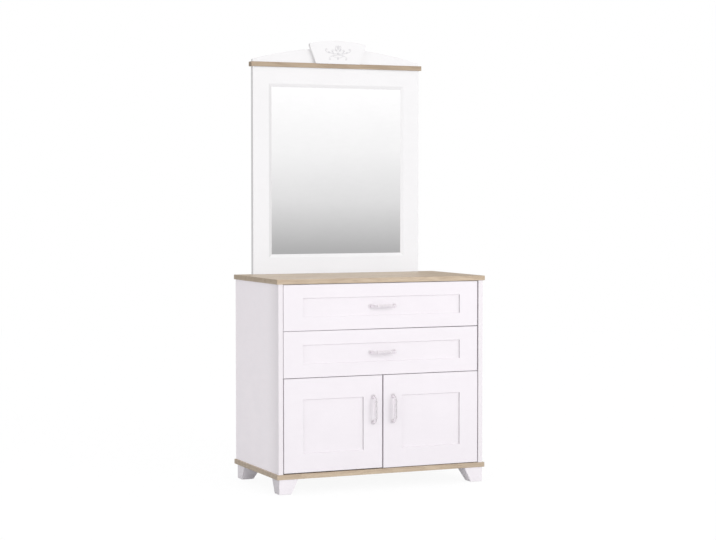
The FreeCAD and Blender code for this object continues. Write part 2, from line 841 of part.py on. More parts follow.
def round_front_edges(body, name, radius):
    """Rounds the four outer edges of the body's front face."""
    doc.recompute()
    tip = body.Tip
    frame = tip.Shape.BoundBox

    def outer_front(edge):
        ends = edge.BoundBox
        flat = abs(ends.YMax - frame.YMin) < TOUCH
        upright = ends.XLength < TOUCH and min(
            abs(ends.XMin - frame.XMin), abs(ends.XMin - frame.XMax)) < TOUCH
        level = ends.ZLength < TOUCH and min(
            abs(ends.ZMin - frame.ZMin), abs(ends.ZMin - frame.ZMax)) < TOUCH
        return flat and (upright or level)

    chosen = [f"Edge{i + 1}" for i, edge in enumerate(tip.Shape.Edges) if outer_front(edge)]
    fillet = body.newObject("PartDesign::Fillet", name)
    fillet.Base = (tip, chosen)
    bind(fillet, "Radius", radius)
    return fillet


def framed_front(name, width, height, bottom_rail, top_rail, screw_holes):
    """A front board with a recessed field inside its stiles and rails, and screw holes."""
    body = doc.addObject("PartDesign::Body", f"{name}_body")
    pad(body, f"{name}_board", rectangle(body, f"{name}_outline", ZERO, width, ZERO, height),
        s.front_thickness)
    recess = rectangle(body, f"{name}_recess_outline", s.front_stile, width - s.front_stile,
                       bottom_rail, height - top_rail)
    pocket(body, f"{name}_recess", recess, s.recess_depth,
           bevel=(s.recess_bevel, s.recess_depth))
    round_front_edges(body, f"{name}_rounding", s.front_round)
    holes = circles(body, f"{name}_screw_circles", screw_holes,
                    s.screw_radius + s.bore_clearance)
    pocket(body, f"{name}_screw_holes", holes, s.front_thickness)
    return body


# ---- bow handles ----
def bow_handle(name, x, seat, z, upright):
    """A bow handle on fan feet, centred on (x, z), whose feet stand on the plane y = seat.

    It is built lying along X and projecting to -Y, and an upright one is then turned.
    """
    out = -(s.handle_projection - s.handle_bead_radius)
    half_spacing = s.handle_spacing / 2
    half_grip = s.handle_grip_length / 2
    parts = [rod("neck", -half_grip, out, 0, s.handle_neck_radius, s.handle_grip_length, "+x")]
    for sign, way in ((-1, "-x"), (1, "+x")):
        parts.append(cone("swell", 0, out, 0, s.handle_swell_radius, s.handle_grip_radius,
                          s.handle_bead_offset, way))
        parts.append(ball("bead", sign * s.handle_bead_offset, out, 0, s.handle_bead_radius,
                          poles="+x"))
        parts += strap("leg", sign, (half_grip, out), (half_spacing, -s.handle_boss_height),
                       -s.handle_leg_width / 2, s.handle_leg_thickness, s.handle_leg_width)
        parts.append(rod("knee", sign * half_grip, out, -s.handle_leg_width / 2,
                         s.handle_knee_radius, s.handle_leg_width))
        parts.append(rod("boss", sign * half_spacing, 0, 0, s.handle_boss_radius,
                         s.handle_boss_height, "-y"))
        near = half_spacing - s.handle_fan_length / 2
        far = half_spacing + s.handle_fan_length / 2
        parts.append(fan(sign, near, far, s.handle_fan_inner / 2, s.handle_fan_outer / 2))
    bow = fuse(f"{name}_bow", parts)
    threads = [
        rod("thread", sign * half_spacing, 0, 0, s.screw_radius + s.bore_clearance,
            s.handle_thread_depth, "-y")
        for sign in (-1, 1)
    ]
    handle = cut(f"{name}_cut", bow, threads)
    move(handle, x, seat, z, Rotation(Vector(0, 1, 0), 90) if upright else Rotation())
    return node(name, handle)


def fan(sign, near, far, inner, outer):
    """A flat fan foot that widens outwards along X, standing on the front's face."""
    obj = doc.addObject("Part::Wedge", "fan")
    # the wedge grows along its own Y, which the turn lays along X
    for path, number in (
        ("Xmin", -inner), ("Xmax", inner), ("X2min", -outer), ("X2max", outer),
        ("Zmin", 0), ("Zmax", s.handle_fan_thickness), ("Z2min", 0),
        ("Z2max", s.handle_fan_thickness), ("Ymin", near), ("Ymax", far),
    ):
        bind(obj, path, number)
    # own Y to +X or -X, own Z to -Y
    turn = FreeCAD.Matrix()
    turn.A11, turn.A12, turn.A13 = 0, sign, 0
    turn.A21, turn.A22, turn.A23 = 0, 0, -1
    turn.A31, turn.A32, turn.A33 = -sign, 0, 0
    obj.Placement = FreeCAD.Placement(turn)
    return obj


def handle_screws(name, seat, centres):
    """Machine screws from the back of a front into the bosses of a handle that stands at seat."""
    screws = []
    length = front_back - seat + s.handle_thread_depth - s.bore_clearance
    for x, z in centres:
        screws.append(pan_screw(x, front_back, z, "-y", length, ()))
    return node(name, group(f"{name}_group", screws))


# ---- doors ----
def door(side, sign):
    """A door with its cup bores, handle and screws."""
    name = f"{side}_door"
    low_x = start(sign, s.meeting_gap / 2, s.meeting_gap / 2 + door_width)
    handle_u = s.door_handle_edge if sign > 0 else door_width - s.door_handle_edge
    handle_v = s.door_height - s.door_handle_drop
    half = s.handle_spacing / 2
    screw_holes = [(handle_u, handle_v - half), (handle_u, handle_v + half)]
    body = framed_front(name, door_width, s.door_height, s.door_bottom_rail, s.door_top_rail,
                        screw_holes)
    cup_from_edge = s.cup_edge_distance + s.cup_radius
    cup_u = door_width - cup_from_edge if sign > 0 else cup_from_edge
    cup_bores = circles(
        body, f"{name}_cup_circles",
        [(cup_u, s.hinge_inset), (cup_u, s.door_height - s.hinge_inset)],
        s.cup_radius + s.bore_clearance, s.front_thickness,
    )
    pocket(body, f"{name}_cup_bores", cup_bores, s.cup_depth + s.bore_clearance, from_back=True)
    node(f"{name}_front", move(body, low_x, front, door_bottom))
    handle_z = door_bottom + handle_v
    bow_handle(f"{name}_handle", low_x + handle_u, front, handle_z, upright=True)
    handle_screws(f"{name}_handle_screws", front,
                  [(low_x + handle_u, handle_z - half), (low_x + handle_u, handle_z + half)])


for side_name, side_sign in SIDES:
    door(side_name, side_sign)


# ---- drawers ----
def drawer(name, bottom):
    """A drawer: framed front, two grooved sides, back, bottom, handle and screws."""
    half = s.handle_spacing / 2
    centre_u = drawer_front_width / 2
    centre_v = s.drawer_front_height / 2
    body = framed_front(name, drawer_front_width, s.drawer_front_height, s.drawer_rail,
                        s.drawer_rail, [(centre_u - half, centre_v), (centre_u + half, centre_v)])
    node(f"{name}_front", move(body, -centre_u, front, bottom))
    box_bottom = bottom + s.box_rise
    outer = half_opening - s.box_side_gap
    inner = outer - s.box_side_thickness
    groove_depth = s.guide_bite + s.guide_side_clearance
    floor_bottom = box_bottom + s.box_bottom_rise
    for side, sign in SIDES:
        blank = box(f"{name}_{side}_blank", start(sign, inner, outer), front_back, box_bottom,
                    s.box_side_thickness, box_depth, box_height)
        guide_groove = box(
            f"{name}_{side}_guide_groove", start(sign, outer - groove_depth, outer),
            front_back, box_bottom + s.guide_rise, groove_depth, box_depth,
            s.guide_height + 2 * s.guide_clearance,
        )
        floor_groove = box(
            f"{name}_{side}_floor_groove", start(sign, inner, inner + s.box_bottom_groove),
            front_back, floor_bottom, s.box_bottom_groove, box_depth,
            s.box_bottom_thickness + s.groove_clearance,
        )
        node(f"{name}_{side}_side",
             cut(f"{name}_{side}_cut", blank, [guide_groove, floor_groove]))
    floor_half = inner + s.box_bottom_groove - s.groove_clearance
    node(f"{name}_bottom", box(f"{name}_floor", -floor_half, front_back, floor_bottom,
                               2 * floor_half, box_depth, s.box_bottom_thickness))
    back_bottom = floor_bottom + s.box_bottom_thickness
    node(f"{name}_back", box(f"{name}_back_board", -inner,
                             front_back + box_depth - s.box_back_thickness, back_bottom,
                             2 * inner, s.box_back_thickness,
                             box_bottom + box_height - back_bottom))
    handle_z = bottom + centre_v
    recess_floor = front + s.recess_depth
    bow_handle(f"{name}_handle", ZERO, recess_floor, handle_z, upright=False)
    handle_screws(f"{name}_handle_screws", recess_floor, [(-half, handle_z), (half, handle_z)])


drawer("lower_drawer", lower_drawer_bottom)
drawer("upper_drawer", upper_drawer_bottom)


# ---- mirror ----
def mirror_frame():
    """The frame board: a bevelled window, a rebate behind it, and its dowel and screw holes."""
    body = doc.addObject("PartDesign::Body", "mirror_frame_body")
    width, height = s.mirror_width, s.mirror_height
    pad(body, "mirror_frame_board",
        rectangle(body, "mirror_frame_outline", ZERO, width, ZERO, height), s.mirror_thickness)
    sight = (s.mirror_stile, width - s.mirror_stile,
             s.mirror_bottom_rail, height - s.mirror_top_rail)
    grow = s.mirror_bevel
    routed = (sight[0] - grow, sight[1] + grow, sight[2] - grow, sight[3] + grow)
    pocket(body, "mirror_bevel_cut", rectangle(body, "mirror_bevel_outline", *routed),
           s.mirror_bevel_depth, bevel=(s.mirror_bevel, s.mirror_bevel_depth))
    pocket(body, "mirror_window", rectangle(body, "mirror_window_outline", *sight),
           s.mirror_thickness)
    lap = s.glass_lap
    rebate = (sight[0] - lap, sight[1] + lap, sight[2] - lap, sight[3] + lap)
    pocket(body, "mirror_rebate",
           rectangle(body, "mirror_rebate_outline", *rebate, offset=s.mirror_thickness),
           s.mirror_thickness - s.mirror_bevel_depth, from_back=True)
    move(body, -width / 2, mirror_front, worktop_top)
    return node("mirror_panel", cut("mirror_panel_cut", body, BORES["mirror_panel"]))


mirror_frame()
pane_left = s.mirror_stile - s.glass_lap + s.glass_clearance - s.mirror_width / 2
pane_bottom = worktop_top + s.mirror_bottom_rail - s.glass_lap + s.glass_clearance
pane_width = -2 * pane_left
pane_height = (s.mirror_height - s.mirror_bottom_rail - s.mirror_top_rail
               + 2 * s.glass_lap - 2 * s.glass_clearance)
glass_front = mirror_front + s.mirror_bevel_depth
board("mirror_glass", pane_left, glass_front, pane_bottom, pane_width, s.glass_thickness,
      pane_height)
backing_front = glass_front + s.glass_thickness
board("mirror_backing", pane_left, backing_front, pane_bottom, pane_width,
      s.mirror_backing_thickness, pane_height)
bead_front = backing_front + s.mirror_backing_thickness
bead = s.glazing_bead_width
bead_depth = back - s.glazing_bead_inset - bead_front
glazing_beads = []
for bead_z in (pane_bottom, pane_bottom + pane_height - bead):
    glazing_beads.append(box("level_bead", pane_left, bead_front, bead_z,
                             pane_width, bead_depth, bead))
for bead_x in (pane_left, pane_left + pane_width - bead):
    glazing_beads.append(box("upright_bead", bead_x, bead_front, pane_bottom + bead,
                             bead, bead_depth, pane_height - 2 * bead))
node("glazing_beads", group("glazing_bead_group", glazing_beads))


# ---- crown ----
board("cornice", -s.mirror_width / 2 - s.cornice_side_overhang,
      mirror_front - s.cornice_front_overhang, mirror_top,
      s.mirror_width + 2 * s.cornice_side_overhang,
      s.mirror_thickness + s.cornice_front_overhang, s.cornice_thickness)

pediment_half = s.mirror_width / 2 - s.pediment_side_inset
pediment_rise = s.pediment_height - s.pediment_end_height
pediment_radius = (pediment_half * pediment_half / pediment_rise + pediment_rise) / 2
pediment_blank = box("pediment_blank", -pediment_half, back - s.pediment_thickness, crown_bottom,
                     2 * pediment_half, s.pediment_thickness, s.pediment_height)
pediment_round = rod("pediment_round", 0, back - s.pediment_thickness,
                     crown_bottom + s.pediment_height - pediment_radius,
                     pediment_radius, s.pediment_thickness, "+y")
node("pediment", cut("pediment_cut", common("pediment_arch", pediment_blank, pediment_round),
                     BORES["pediment"]))

keystone_back = back - s.pediment_thickness
keystone_front = keystone_back - s.keystone_thickness
low_half, high_half = s.keystone_bottom_width / 2, s.keystone_top_width / 2
keystone_blank = tapered_block(
    "keystone_blank", (-low_half, low_half, keystone_front, keystone_back),
    (-high_half, high_half, keystone_front, keystone_back), crown_bottom, s.keystone_height,
)
keystone_round = rod("keystone_round", 0, keystone_front,
                     crown_bottom + s.keystone_height - s.keystone_arc_radius,
                     s.keystone_arc_radius, s.keystone_thickness, "+y")
keystone_arch = common("keystone_arch", keystone_blank, keystone_round)
doc.recompute()


def top_corners(shape):
    """The two edges along Y where the keystone's sides meet its arched top."""
    chosen = []
    for i, edge in enumerate(shape.Edges):
        ends = edge.BoundBox
        along = ends.XLength < TOUCH and ends.ZLength < TOUCH
        if along and ends.ZMin > shape.BoundBox.ZMin + TOUCH:
            chosen.append(i + 1)
    return chosen


keystone = doc.addObject("Part::Fillet", "keystone_rounding")
keystone.Base = keystone_arch
corner = s.keystone_corner.value()
keystone.Edges = [(i, corner, corner) for i in top_corners(keystone_arch.Shape)]
node("keystone", keystone)

# The ornament's leaves: middle across and up from the ornament's foot, length and width, each
# as a share of its width and height, and the lean of the tip from upright in degrees. All but
# the middle ones are repeated on the other side.
MIDDLE_LEAVES = ((0, 0.80, 0.38, 0.11, 0), (0, 0.40, 0.26, 0.12, 0), (0, 0.10, 0.22, 0.07, 0))
SIDE_LEAVES = (
    (0.11, 0.66, 0.30, 0.08, 34), (0.24, 0.57, 0.32, 0.08, 62), (0.40, 0.45, 0.32, 0.08, 84),
    (0.13, 0.32, 0.24, 0.07, 118), (0.29, 0.26, 0.26, 0.07, 104), (0.10, 0.14, 0.20, 0.06, 142),
)


def leaf(across, up, length, width, lean):
    """A pointed leaf: two arcs between its foot and its tip, raised off the keystone."""
    height = s.ornament_height.value()
    tip = Vector(math.sin(math.radians(lean)), 0, math.cos(math.radians(lean)))
    side = Vector(tip.z, 0, -tip.x)
    middle = Vector(across * s.ornament_width.value(), 0, up * height)
    foot_point = middle - tip * (length * height / 2)
    tip_point = middle + tip * (length * height / 2)
    bulge = side * (width * height)
    outline = Part.Wire([
        Part.Arc(foot_point, middle + bulge, tip_point).toShape(),
        Part.Arc(tip_point, middle - bulge, foot_point).toShape(),
    ])
    return Part.Face(outline).extrude(Vector(0, -s.ornament_thickness.value(), 0))


leaves = [leaf(*shape) for shape in MIDDLE_LEAVES]
for across, up, length, width, lean in SIDE_LEAVES:
    leaves.append(leaf(across, up, length, width, lean))
    leaves.append(leaf(-across, up, length, width, -lean))
ornament = doc.addObject("Part::Feature", "ornament_leaves")
ornament.Shape = Part.makeCompound(leaves)
move(ornament, 0, keystone_front, crown_bottom + s.ornament_rise)
node("crown_ornament", ornament)


# ---- checks and files ----
doc.recompute()
failed = [obj.Name for obj in doc.Objects if {"Invalid", "Error"} & set(obj.State)]
for name, obj in NODES.items():
    if obj.Shape.isNull() or not obj.Shape.isValid() or not obj.Shape.Solids:
        failed.append(name)
if failed:
    raise RuntimeError(f"failed objects: {failed}")

os.makedirs("parts", exist_ok=True)
for name, obj in NODES.items():
    obj.Shape.exportStep(f"parts/{name}.step")
print(len(NODES), "nodes written")
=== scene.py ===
"""Dresses a packed dresser with a standing mirror.

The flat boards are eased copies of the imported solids, with softened edges. The handles, the
crown's ornament and the visible screws are built here in more detail than the solids hold.
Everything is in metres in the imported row's frame: X to the right, Y to the back, Z up.
"""

from __future__ import annotations

import json
import logging
import math
from collections.abc import Callable, Iterable, Mapping, Sequence
from dataclasses import dataclass, replace
from enum import Enum

import bmesh
import bpy
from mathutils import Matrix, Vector


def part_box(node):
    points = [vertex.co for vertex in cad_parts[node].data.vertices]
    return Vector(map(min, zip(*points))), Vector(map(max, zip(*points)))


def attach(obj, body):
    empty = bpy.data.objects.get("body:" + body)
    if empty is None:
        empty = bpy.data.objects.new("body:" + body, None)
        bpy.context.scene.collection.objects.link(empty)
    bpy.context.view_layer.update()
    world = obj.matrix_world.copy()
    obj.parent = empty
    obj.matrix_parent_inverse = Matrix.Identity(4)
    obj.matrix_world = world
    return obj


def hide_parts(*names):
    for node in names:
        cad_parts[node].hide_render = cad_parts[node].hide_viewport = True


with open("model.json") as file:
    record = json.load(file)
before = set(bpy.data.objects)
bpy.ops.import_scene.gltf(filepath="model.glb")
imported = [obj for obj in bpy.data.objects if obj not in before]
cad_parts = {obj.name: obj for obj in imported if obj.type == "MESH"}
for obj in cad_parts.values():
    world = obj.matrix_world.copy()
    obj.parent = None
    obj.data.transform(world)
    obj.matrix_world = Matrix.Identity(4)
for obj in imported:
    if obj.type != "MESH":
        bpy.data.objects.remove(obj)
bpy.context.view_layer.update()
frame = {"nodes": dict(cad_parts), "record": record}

LOG = logging.getLogger("dresser")
BODY_OF = {
    node: body
    for body, nodes in frame["record"]["behaviour"]["bodies"].items()
    for node in nodes
}
MM = 0.001
FORWARD = Vector((0.0, -1.0, 0.0))
PURE_WHITE = (1.0, 1.0, 1.0)
# How far the cornice and the upper edge of the mirror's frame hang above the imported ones.
CORNICE_RISE = 1.6 * MM
# How wide the corners of painted frames and of sheet steel are broken.
FRAME_BREAK, STEEL_BREAK = 0.7 * MM, 0.3 * MM

Colour = tuple[float, float, float]
Place = tuple[float, float, float]
# Where a factor starts and ends to change, going into a band of values and out of it.
Band = tuple[float, float, float, float]
# A point of a skin: along, across and out of its piece, and its relief.
Point = tuple[float, float, float, float]
Rows = Sequence[Sequence[Point]]
Socket = bpy.types.NodeSocket
Outputs = Mapping[str | int, Socket]
Feeds = Mapping[str | int, object]


# ---- Node trees -----------------------------------------------------------------------------


@dataclass
class Shading:
    """A node tree under construction.

    Args:
        tree: The tree that the nodes are added to.
    """

    tree: bpy.types.NodeTree

    def add(self, kind: str, feeds: Feeds | None = None, **settings: object) -> Outputs:
        """Adds a node.

        Args:
            kind: The node's Blender class name.
            feeds: What each input takes: a value, a colour of three parts or another output.
            **settings: The node's own properties.

        Returns:
            The new node's outputs.
        """
        node = self.tree.nodes.new(kind)
        for name, value in settings.items():
            setattr(node, name, value)
        for name, value in (feeds or {}).items():
            socket = node.inputs[name]
            if isinstance(value, Socket):
                self.tree.links.new(value, socket)
            else:
                socket.default_value = (*value, 1.0) if socket.type == "RGBA" else value
        return node.outputs

    def calc(self, operation: str, *values: object) -> Socket:
        """The output of a Math node."""
        return self.add("ShaderNodeMath", dict(enumerate(values)), operation=operation)[0]

    def times(self, first: object, second: object) -> Socket:
        """The product of two values."""
        return self.calc("MULTIPLY", first, second)

    def stretch(self, vector: Socket, *by: float) -> Socket:
        """The vector with each part multiplied."""
        return self.add("ShaderNodeVectorMath", {0: vector, 1: by}, operation="MULTIPLY")[0]

    def noise(
        self, vector: Socket, scale: object, detail: float = 3.0, roughness: float = 0.5,
        distortion: float = 0.0,
    ) -> Socket:
        """A noise value about 0.5.

        Args:
            vector: Where it is read.
            scale: Cells per unit of the vector.
            detail: How many finer layers it has.
            roughness: How strong the finer layers are.
            distortion: How far it is swirled.

        Returns:
            The value.
        """
        names = ("Vector", "Scale", "Detail", "Roughness", "Distortion")
        values = (vector, scale, detail, roughness, distortion)
        return self.add("ShaderNodeTexNoise", dict(zip(names, values)))["Fac"]

    def spread(
        self, value: object, low: float, high: float, to_low: float = 0.0, to_high: float = 1.0
    ) -> Socket:
        """Carries the range low to high smoothly over to the range to_low to to_high."""
        feeds = {0: value, 1: low, 2: high, 3: to_low, 4: to_high}
        return self.add("ShaderNodeMapRange", feeds, interpolation_type="SMOOTHSTEP")[0]

    def band(self, value: object, ends: Band, inside: float) -> Socket:
        """A factor of 1 outside a band of values and of another number within it."""
        share = self.times(self.spread(value, *ends[:2]), self.spread(value, *ends[2:], 1.0, 0.0))
        return self.calc("MULTIPLY_ADD", share, inside - 1.0, 1.0)

    def mix(self, share: object, first: object, second: object) -> Socket:
        """A colour between two, by a share of the second."""
        return self.add("ShaderNodeMix", {0: share, 6: first, 7: second}, data_type="RGBA")[2]

    def tone(self, colour: object, by: object) -> Socket:
        """A colour with its brightness multiplied."""
        return self.add("ShaderNodeHueSaturation", {"Color": colour, "Value": by})[0]

    def bump(self, height: object, distance: float) -> Socket:
        """The normal of a height map whose full step is that many metres."""
        return self.add("ShaderNodeBump", {"Height": height, "Distance": distance})["Normal"]

    def place(self) -> Socket:
        """The point's own place on the piece, in metres."""
        return self.add("ShaderNodeTexCoord")["Object"]

    def parts(self, vector: Socket) -> Outputs:
        """The X, Y and Z of a vector."""
        return self.add("ShaderNodeSeparateXYZ", {0: vector})

    def facing(self) -> Outputs:
        """The X, Y and Z of the direction that the piece's own surface looks in."""
        return self.parts(self.add("ShaderNodeTexCoord")["Normal"])


def cleared(owner: bpy.types.Material | bpy.types.World) -> Shading:
    """Empties the node tree of a material or world.

    Args:
        owner: The material or world.

    Returns:
        Its tree, to be filled.
    """
    owner.use_nodes = True
    owner.node_tree.nodes.clear()
    return Shading(owner.node_tree)


# The class of a group's socket by the type of its default. A vector has no default.
KINDS = {type(None): "NodeSocketVector", float: "NodeSocketFloat", tuple: "NodeSocketColor"}


@dataclass(frozen=True)
class Effect:
    """A shared shader node group, which is built once and placed in many materials.

    Args:
        name: The group's name.
        inputs: Each input's name and default.
        outputs: Its outputs' names: Color for a colour, and any other name for a value.
        lay: Adds the group's nodes and gives back what feeds each output.
    """

    name: str
    inputs: Mapping[str, object]
    outputs: Sequence[str]
    lay: Callable[[Shading, Outputs], Feeds]

    def tree(self) -> bpy.types.NodeTree:
        """Makes the group's tree at its first use.

        Returns:
            The tree.
        """
        found = bpy.data.node_groups.get(self.name)
        if found:
            return found
        tree = bpy.data.node_groups.new(self.name, "ShaderNodeTree")
        for name, default in self.inputs.items():
            kind = KINDS[type(default)]
            socket = tree.interface.new_socket(name, in_out="INPUT", socket_type=kind)
            if default is not None:
                socket.default_value = default
        for name in self.outputs:
            kind = KINDS[tuple if name == "Color" else float]
            tree.interface.new_socket(name, in_out="OUTPUT", socket_type=kind)
        s = Shading(tree)
        s.add("NodeGroupOutput", self.lay(s, s.add("NodeGroupInput")))
        return tree

    def use(self, s: Shading, **feeds: object) -> Outputs:
        """Places the group in a material's tree, with what its inputs take."""
        return s.add("ShaderNodeGroup", feeds, node_tree=self.tree())


def lay_ripple(s: Shading, given: Outputs) -> Feeds:
    """The faint unevenness of a pressed or sprayed skin.

    Args:
        s: The group's tree.
        given: Its inputs.

    Returns:
        What feeds its outputs.
    """
    broad = s.noise(given["Vector"], given["Scale"], 2.0)
    fine = s.noise(given["Vector"], s.times(given["Scale"], 3.7), 1.0)
    return {"Height": s.calc("MULTIPLY_ADD", fine, 0.35, broad)}


def lay_handling(s: Shading, given: Outputs) -> Feeds:
    """Broad soft patches where a surface is a touch duller, as wiping leaves it.

    Args:
        s: The group's tree.
        given: Its inputs.

    Returns:
        What feeds its outputs.
    """
    cloud = s.noise(given["Vector"], given["Scale"], 5.0, 0.6, 0.4)
    streaked = s.noise(s.stretch(given["Vector"], 1.0, 1.0, 3.0), s.times(given["Scale"], 4.0))
    both = s.calc("MULTIPLY_ADD", streaked, 0.3, s.times(cloud, 0.7))
    return {"Mask": s.spread(both, 0.38, 0.62)}


def lay_dust(s: Shading, given: Outputs) -> Feeds:
    """A little dust that lies on faces which look up.

    Args:
        s: The group's tree.
        given: Its inputs.

    Returns:
        What feeds its outputs.
    """
    lying = s.spread(s.parts(s.add("ShaderNodeNewGeometry")["Normal"])["Z"], 0.6, 1.0)
    specks = s.spread(s.noise(given["Vector"], 900.0, 2.0), 0.52, 0.72)
    return {"Mask": s.times(lying, s.times(specks, given["Amount"]))}


def lay_wood(s: Shading, given: Outputs) -> Feeds:
    """Long oak grain along X: arched figure, streaks and short open pores.

    Args:
        s: The group's tree.
        given: Its inputs.

    Returns:
        What feeds its outputs.
    """

    def grain(along: float, across: float, *layers: float) -> Socket:
        """Noise by its cells per metre along and across the grain."""
        return s.noise(s.stretch(given["Vector"], along, across, across), 1.0, *layers)

    figure = grain(0.8, 5.0, 3.0, 0.45, 0.9)
    rings = s.spread(s.calc("SINE", s.times(figure, given["Rings"])), -0.9, 1.0)
    streaks = s.spread(grain(2.4, 150.0, 4.0, 0.62), 0.3, 0.7)
    pores = s.spread(grain(22.0, 1100.0, 2.0), 0.56, 0.70)
    clouds = s.spread(grain(1.6, 7.0, 2.0), 0.3, 0.7)
    tone = s.calc("MULTIPLY_ADD", streaks, 0.55, s.times(rings, 0.25))
    tone = s.calc("MULTIPLY_ADD", clouds, 0.10, tone)
    ground = s.mix(s.spread(tone, 0.10, 0.85), given["Pale"], given["Middle"])
    pore_share = s.times(pores, s.calc("MULTIPLY_ADD", rings, 0.4, 0.35))
    return {
        "Color": s.mix(pore_share, ground, given["Dark"]),
        "Height": s.calc("SUBTRACT", s.times(streaks, 0.3), pores),
        "Pores": pores,
    }


RIPPLE = Effect("surface_ripple", {"Vector": None, "Scale": 400.0}, ("Height",), lay_ripple)
HANDLING = Effect("handling_patches", {"Vector": None, "Scale": 5.0}, ("Mask",), lay_handling)
DUST = Effect("lying_dust", {"Vector": None, "Amount": 0.1}, ("Mask",), lay_dust)
WOOD = Effect(
    "long_wood_grain",
    {
        "Vector": None, "Rings": 90.0, "Pale": (0.6, 0.5, 0.36, 1.0),
        "Middle": (0.48, 0.38, 0.26, 1.0), "Dark": (0.25, 0.18, 0.11, 1.0),
    },
    ("Color", "Height", "Pores"),
    lay_wood,
)


def patches(s: Shading, scale: float) -> Socket:
    """Where a surface is a touch duller."""
    return HANDLING.use(s, Vector=s.place(), Scale=scale)["Mask"]


def rippled(s: Shading, scale: float, depth: float) -> Socket:
    """The normal of a ripple, by its ripples per metre and their height in metres."""
    return s.bump(RIPPLE.use(s, Vector=s.place(), Scale=scale)["Height"], depth)


def dusted(s: Shading, amount: float, colour: Socket, dust: Colour) -> Socket:
    """A colour under a trace of dust."""
    return s.mix(DUST.use(s, Vector=s.place(), Amount=amount)["Mask"], colour, dust)


# ---- Finishes -------------------------------------------------------------------------------


@dataclass(frozen=True)
class Finish:
    """A material of the dresser or its floor.

    Args:
        name: The material's name.
        slot: The record's material slot that it belongs to, or nothing for the floor; not used.
    """

    name: str
    slot: str

    def material(self) -> bpy.types.Material:
        """Makes the material at its first use.

        Returns:
            The material.
        """
        found = bpy.data.materials.get(self.name)
        if found:
            return found
        material = bpy.data.materials.new(self.name)
        s = cleared(material)
        shader = s.add("ShaderNodeBsdfPrincipled", self.lay(s))[0]
        s.add("ShaderNodeOutputMaterial", {"Surface": shader})
        return material

    def lay(self, s: Shading) -> Feeds:
        """Adds the finish's nodes and gives back what feeds each of the shader's sockets."""
        raise NotImplementedError


@dataclass(frozen=True)
class WhiteSkin(Finish):
    """A white foil or lacquer over board, with a faint ripple.

    Args:
        tint: Its colour.
        shade: Its colour in the duller patches.
        gloss: Its lowest and highest roughness.
        ripple_scale: Ripples per metre.
        ripple_depth: Their height in metres.
        coat: How much of a clear gloss lies over it.
        dust: How much dust lies on its upper faces.
        bevel_painted_shade: Painted shade on shallow bevels that look right or down, as a
            brightness factor.
        edge_painted_shading: Painted light and shade on the faces that look left or right, as a
            brightness factor.
        edge_band: Which of those faces are meant, by how far they look left or right.
        front_painted_shade: Painted shade on the side faces at the front, as a brightness factor.
    """

    tint: Colour
    shade: Colour
    gloss: tuple[float, float]
    ripple_scale: float = 420.0
    ripple_depth: float = 0.03 * MM
    coat: float = 0.0
    dust: float = 0.08
    bevel_painted_shade: float = 1.0
    edge_painted_shading: float = 1.0
    edge_band: Band = (0.95, 0.98, 2.0, 3.0)
    front_painted_shade: float = 1.0

    def lay(self, s: Shading) -> Feeds:
        """White with soft patches, a ripple in its gloss, a trace of dust, and painted light and
        shade on bevels and on the faces that look left or right.

        Args:
            s: The material's tree.

        Returns:
            What feeds the shader's sockets.
        """
        duller = patches(s, 4.0)
        facing = s.facing()
        sideways = s.calc("ABSOLUTE", facing["X"])
        # Painted shade: shallow bevels that look right or down are darkened.
        lean = s.calc("MAXIMUM", facing["X"], s.times(facing["Z"], -0.5))
        bevel = s.band(lean, (0.05, 0.28, 0.5, 0.8), self.bevel_painted_shade)
        # Painted light and shade on the faces that look left or right, within the given band.
        edge = s.band(sideways, self.edge_band, self.edge_painted_shading)
        # Painted shade on the side faces towards the front.
        forward = s.spread(s.parts(s.place())["Y"], -0.24, -0.09, self.front_painted_shade, 1.0)
        front = s.mix(s.spread(sideways, 0.9, 0.98), PURE_WHITE, forward)
        tone = s.times(s.times(bevel, edge), front)
        colour = s.tone(s.mix(duller, self.tint, self.shade), tone)
        return {
            "Base Color": dusted(s, self.dust, colour, (0.62, 0.60, 0.57)),
            "Roughness": s.spread(duller, 0.0, 1.0, *self.gloss),
            "Normal": rippled(s, self.ripple_scale, self.ripple_depth),
            "Coat Weight": self.coat,
            "Coat Roughness": 0.22,
            "Specular IOR Level": 0.45,
        }


@dataclass(frozen=True)
class OakSkin(Finish):
    """An oak-look laminate with its grain along X.

    Args:
        pale: The early wood.
        middle: The late wood.
        dark: The pores.
        rings: How close the arched figure's lines are.
        dust: How much dust lies on its upper faces.
        end_tone: How bright the faces that look left or right are, beside the rest.
        right_painted_shade: Painted shade towards its right end, as a brightness factor.
    """

    pale: Colour
    middle: Colour
    dark: Colour
    rings: float = 90.0
    dust: float = 0.06
    end_tone: float = 0.71
    right_painted_shade: float = 1.0

    def lay(self, s: Shading) -> Feeds:
        """Grain in colour, gloss and relief, painted shade towards the right end, and a neutral
        grey for the light it gives on.

        Args:
            s: The material's tree.

        Returns:
            What feeds the shader's sockets.
        """
        colours = {"Pale": self.pale, "Middle": self.middle, "Dark": self.dark}
        grain = WOOD.use(s, Vector=s.place(), Rings=self.rings, **colours)
        gloss = s.spread(patches(s, 3.0), 0.0, 1.0, 0.40, 0.48)
        end = s.spread(s.calc("ABSOLUTE", s.facing()["X"]), 0.7, 0.95, 1.0, self.end_tone)
        # Painted shade towards the piece's right end.
        right = s.spread(s.parts(s.place())["X"], 0.25, 0.36, 1.0, self.right_painted_shade)
        toned = s.tone(grain["Color"], s.times(end, right))
        bounced = s.add("ShaderNodeLightPath")["Is Diffuse Ray"]
        colour = dusted(s, self.dust, toned, (0.62, 0.59, 0.55))
        return {
            "Base Color": s.mix(bounced, colour, (0.82, 0.81, 0.81)),
            "Roughness": s.calc("MULTIPLY_ADD", grain["Pores"], 0.12, gloss),
            "Normal": s.bump(grain["Height"], 0.06 * MM),
            "Specular IOR Level": 0.4,
        }


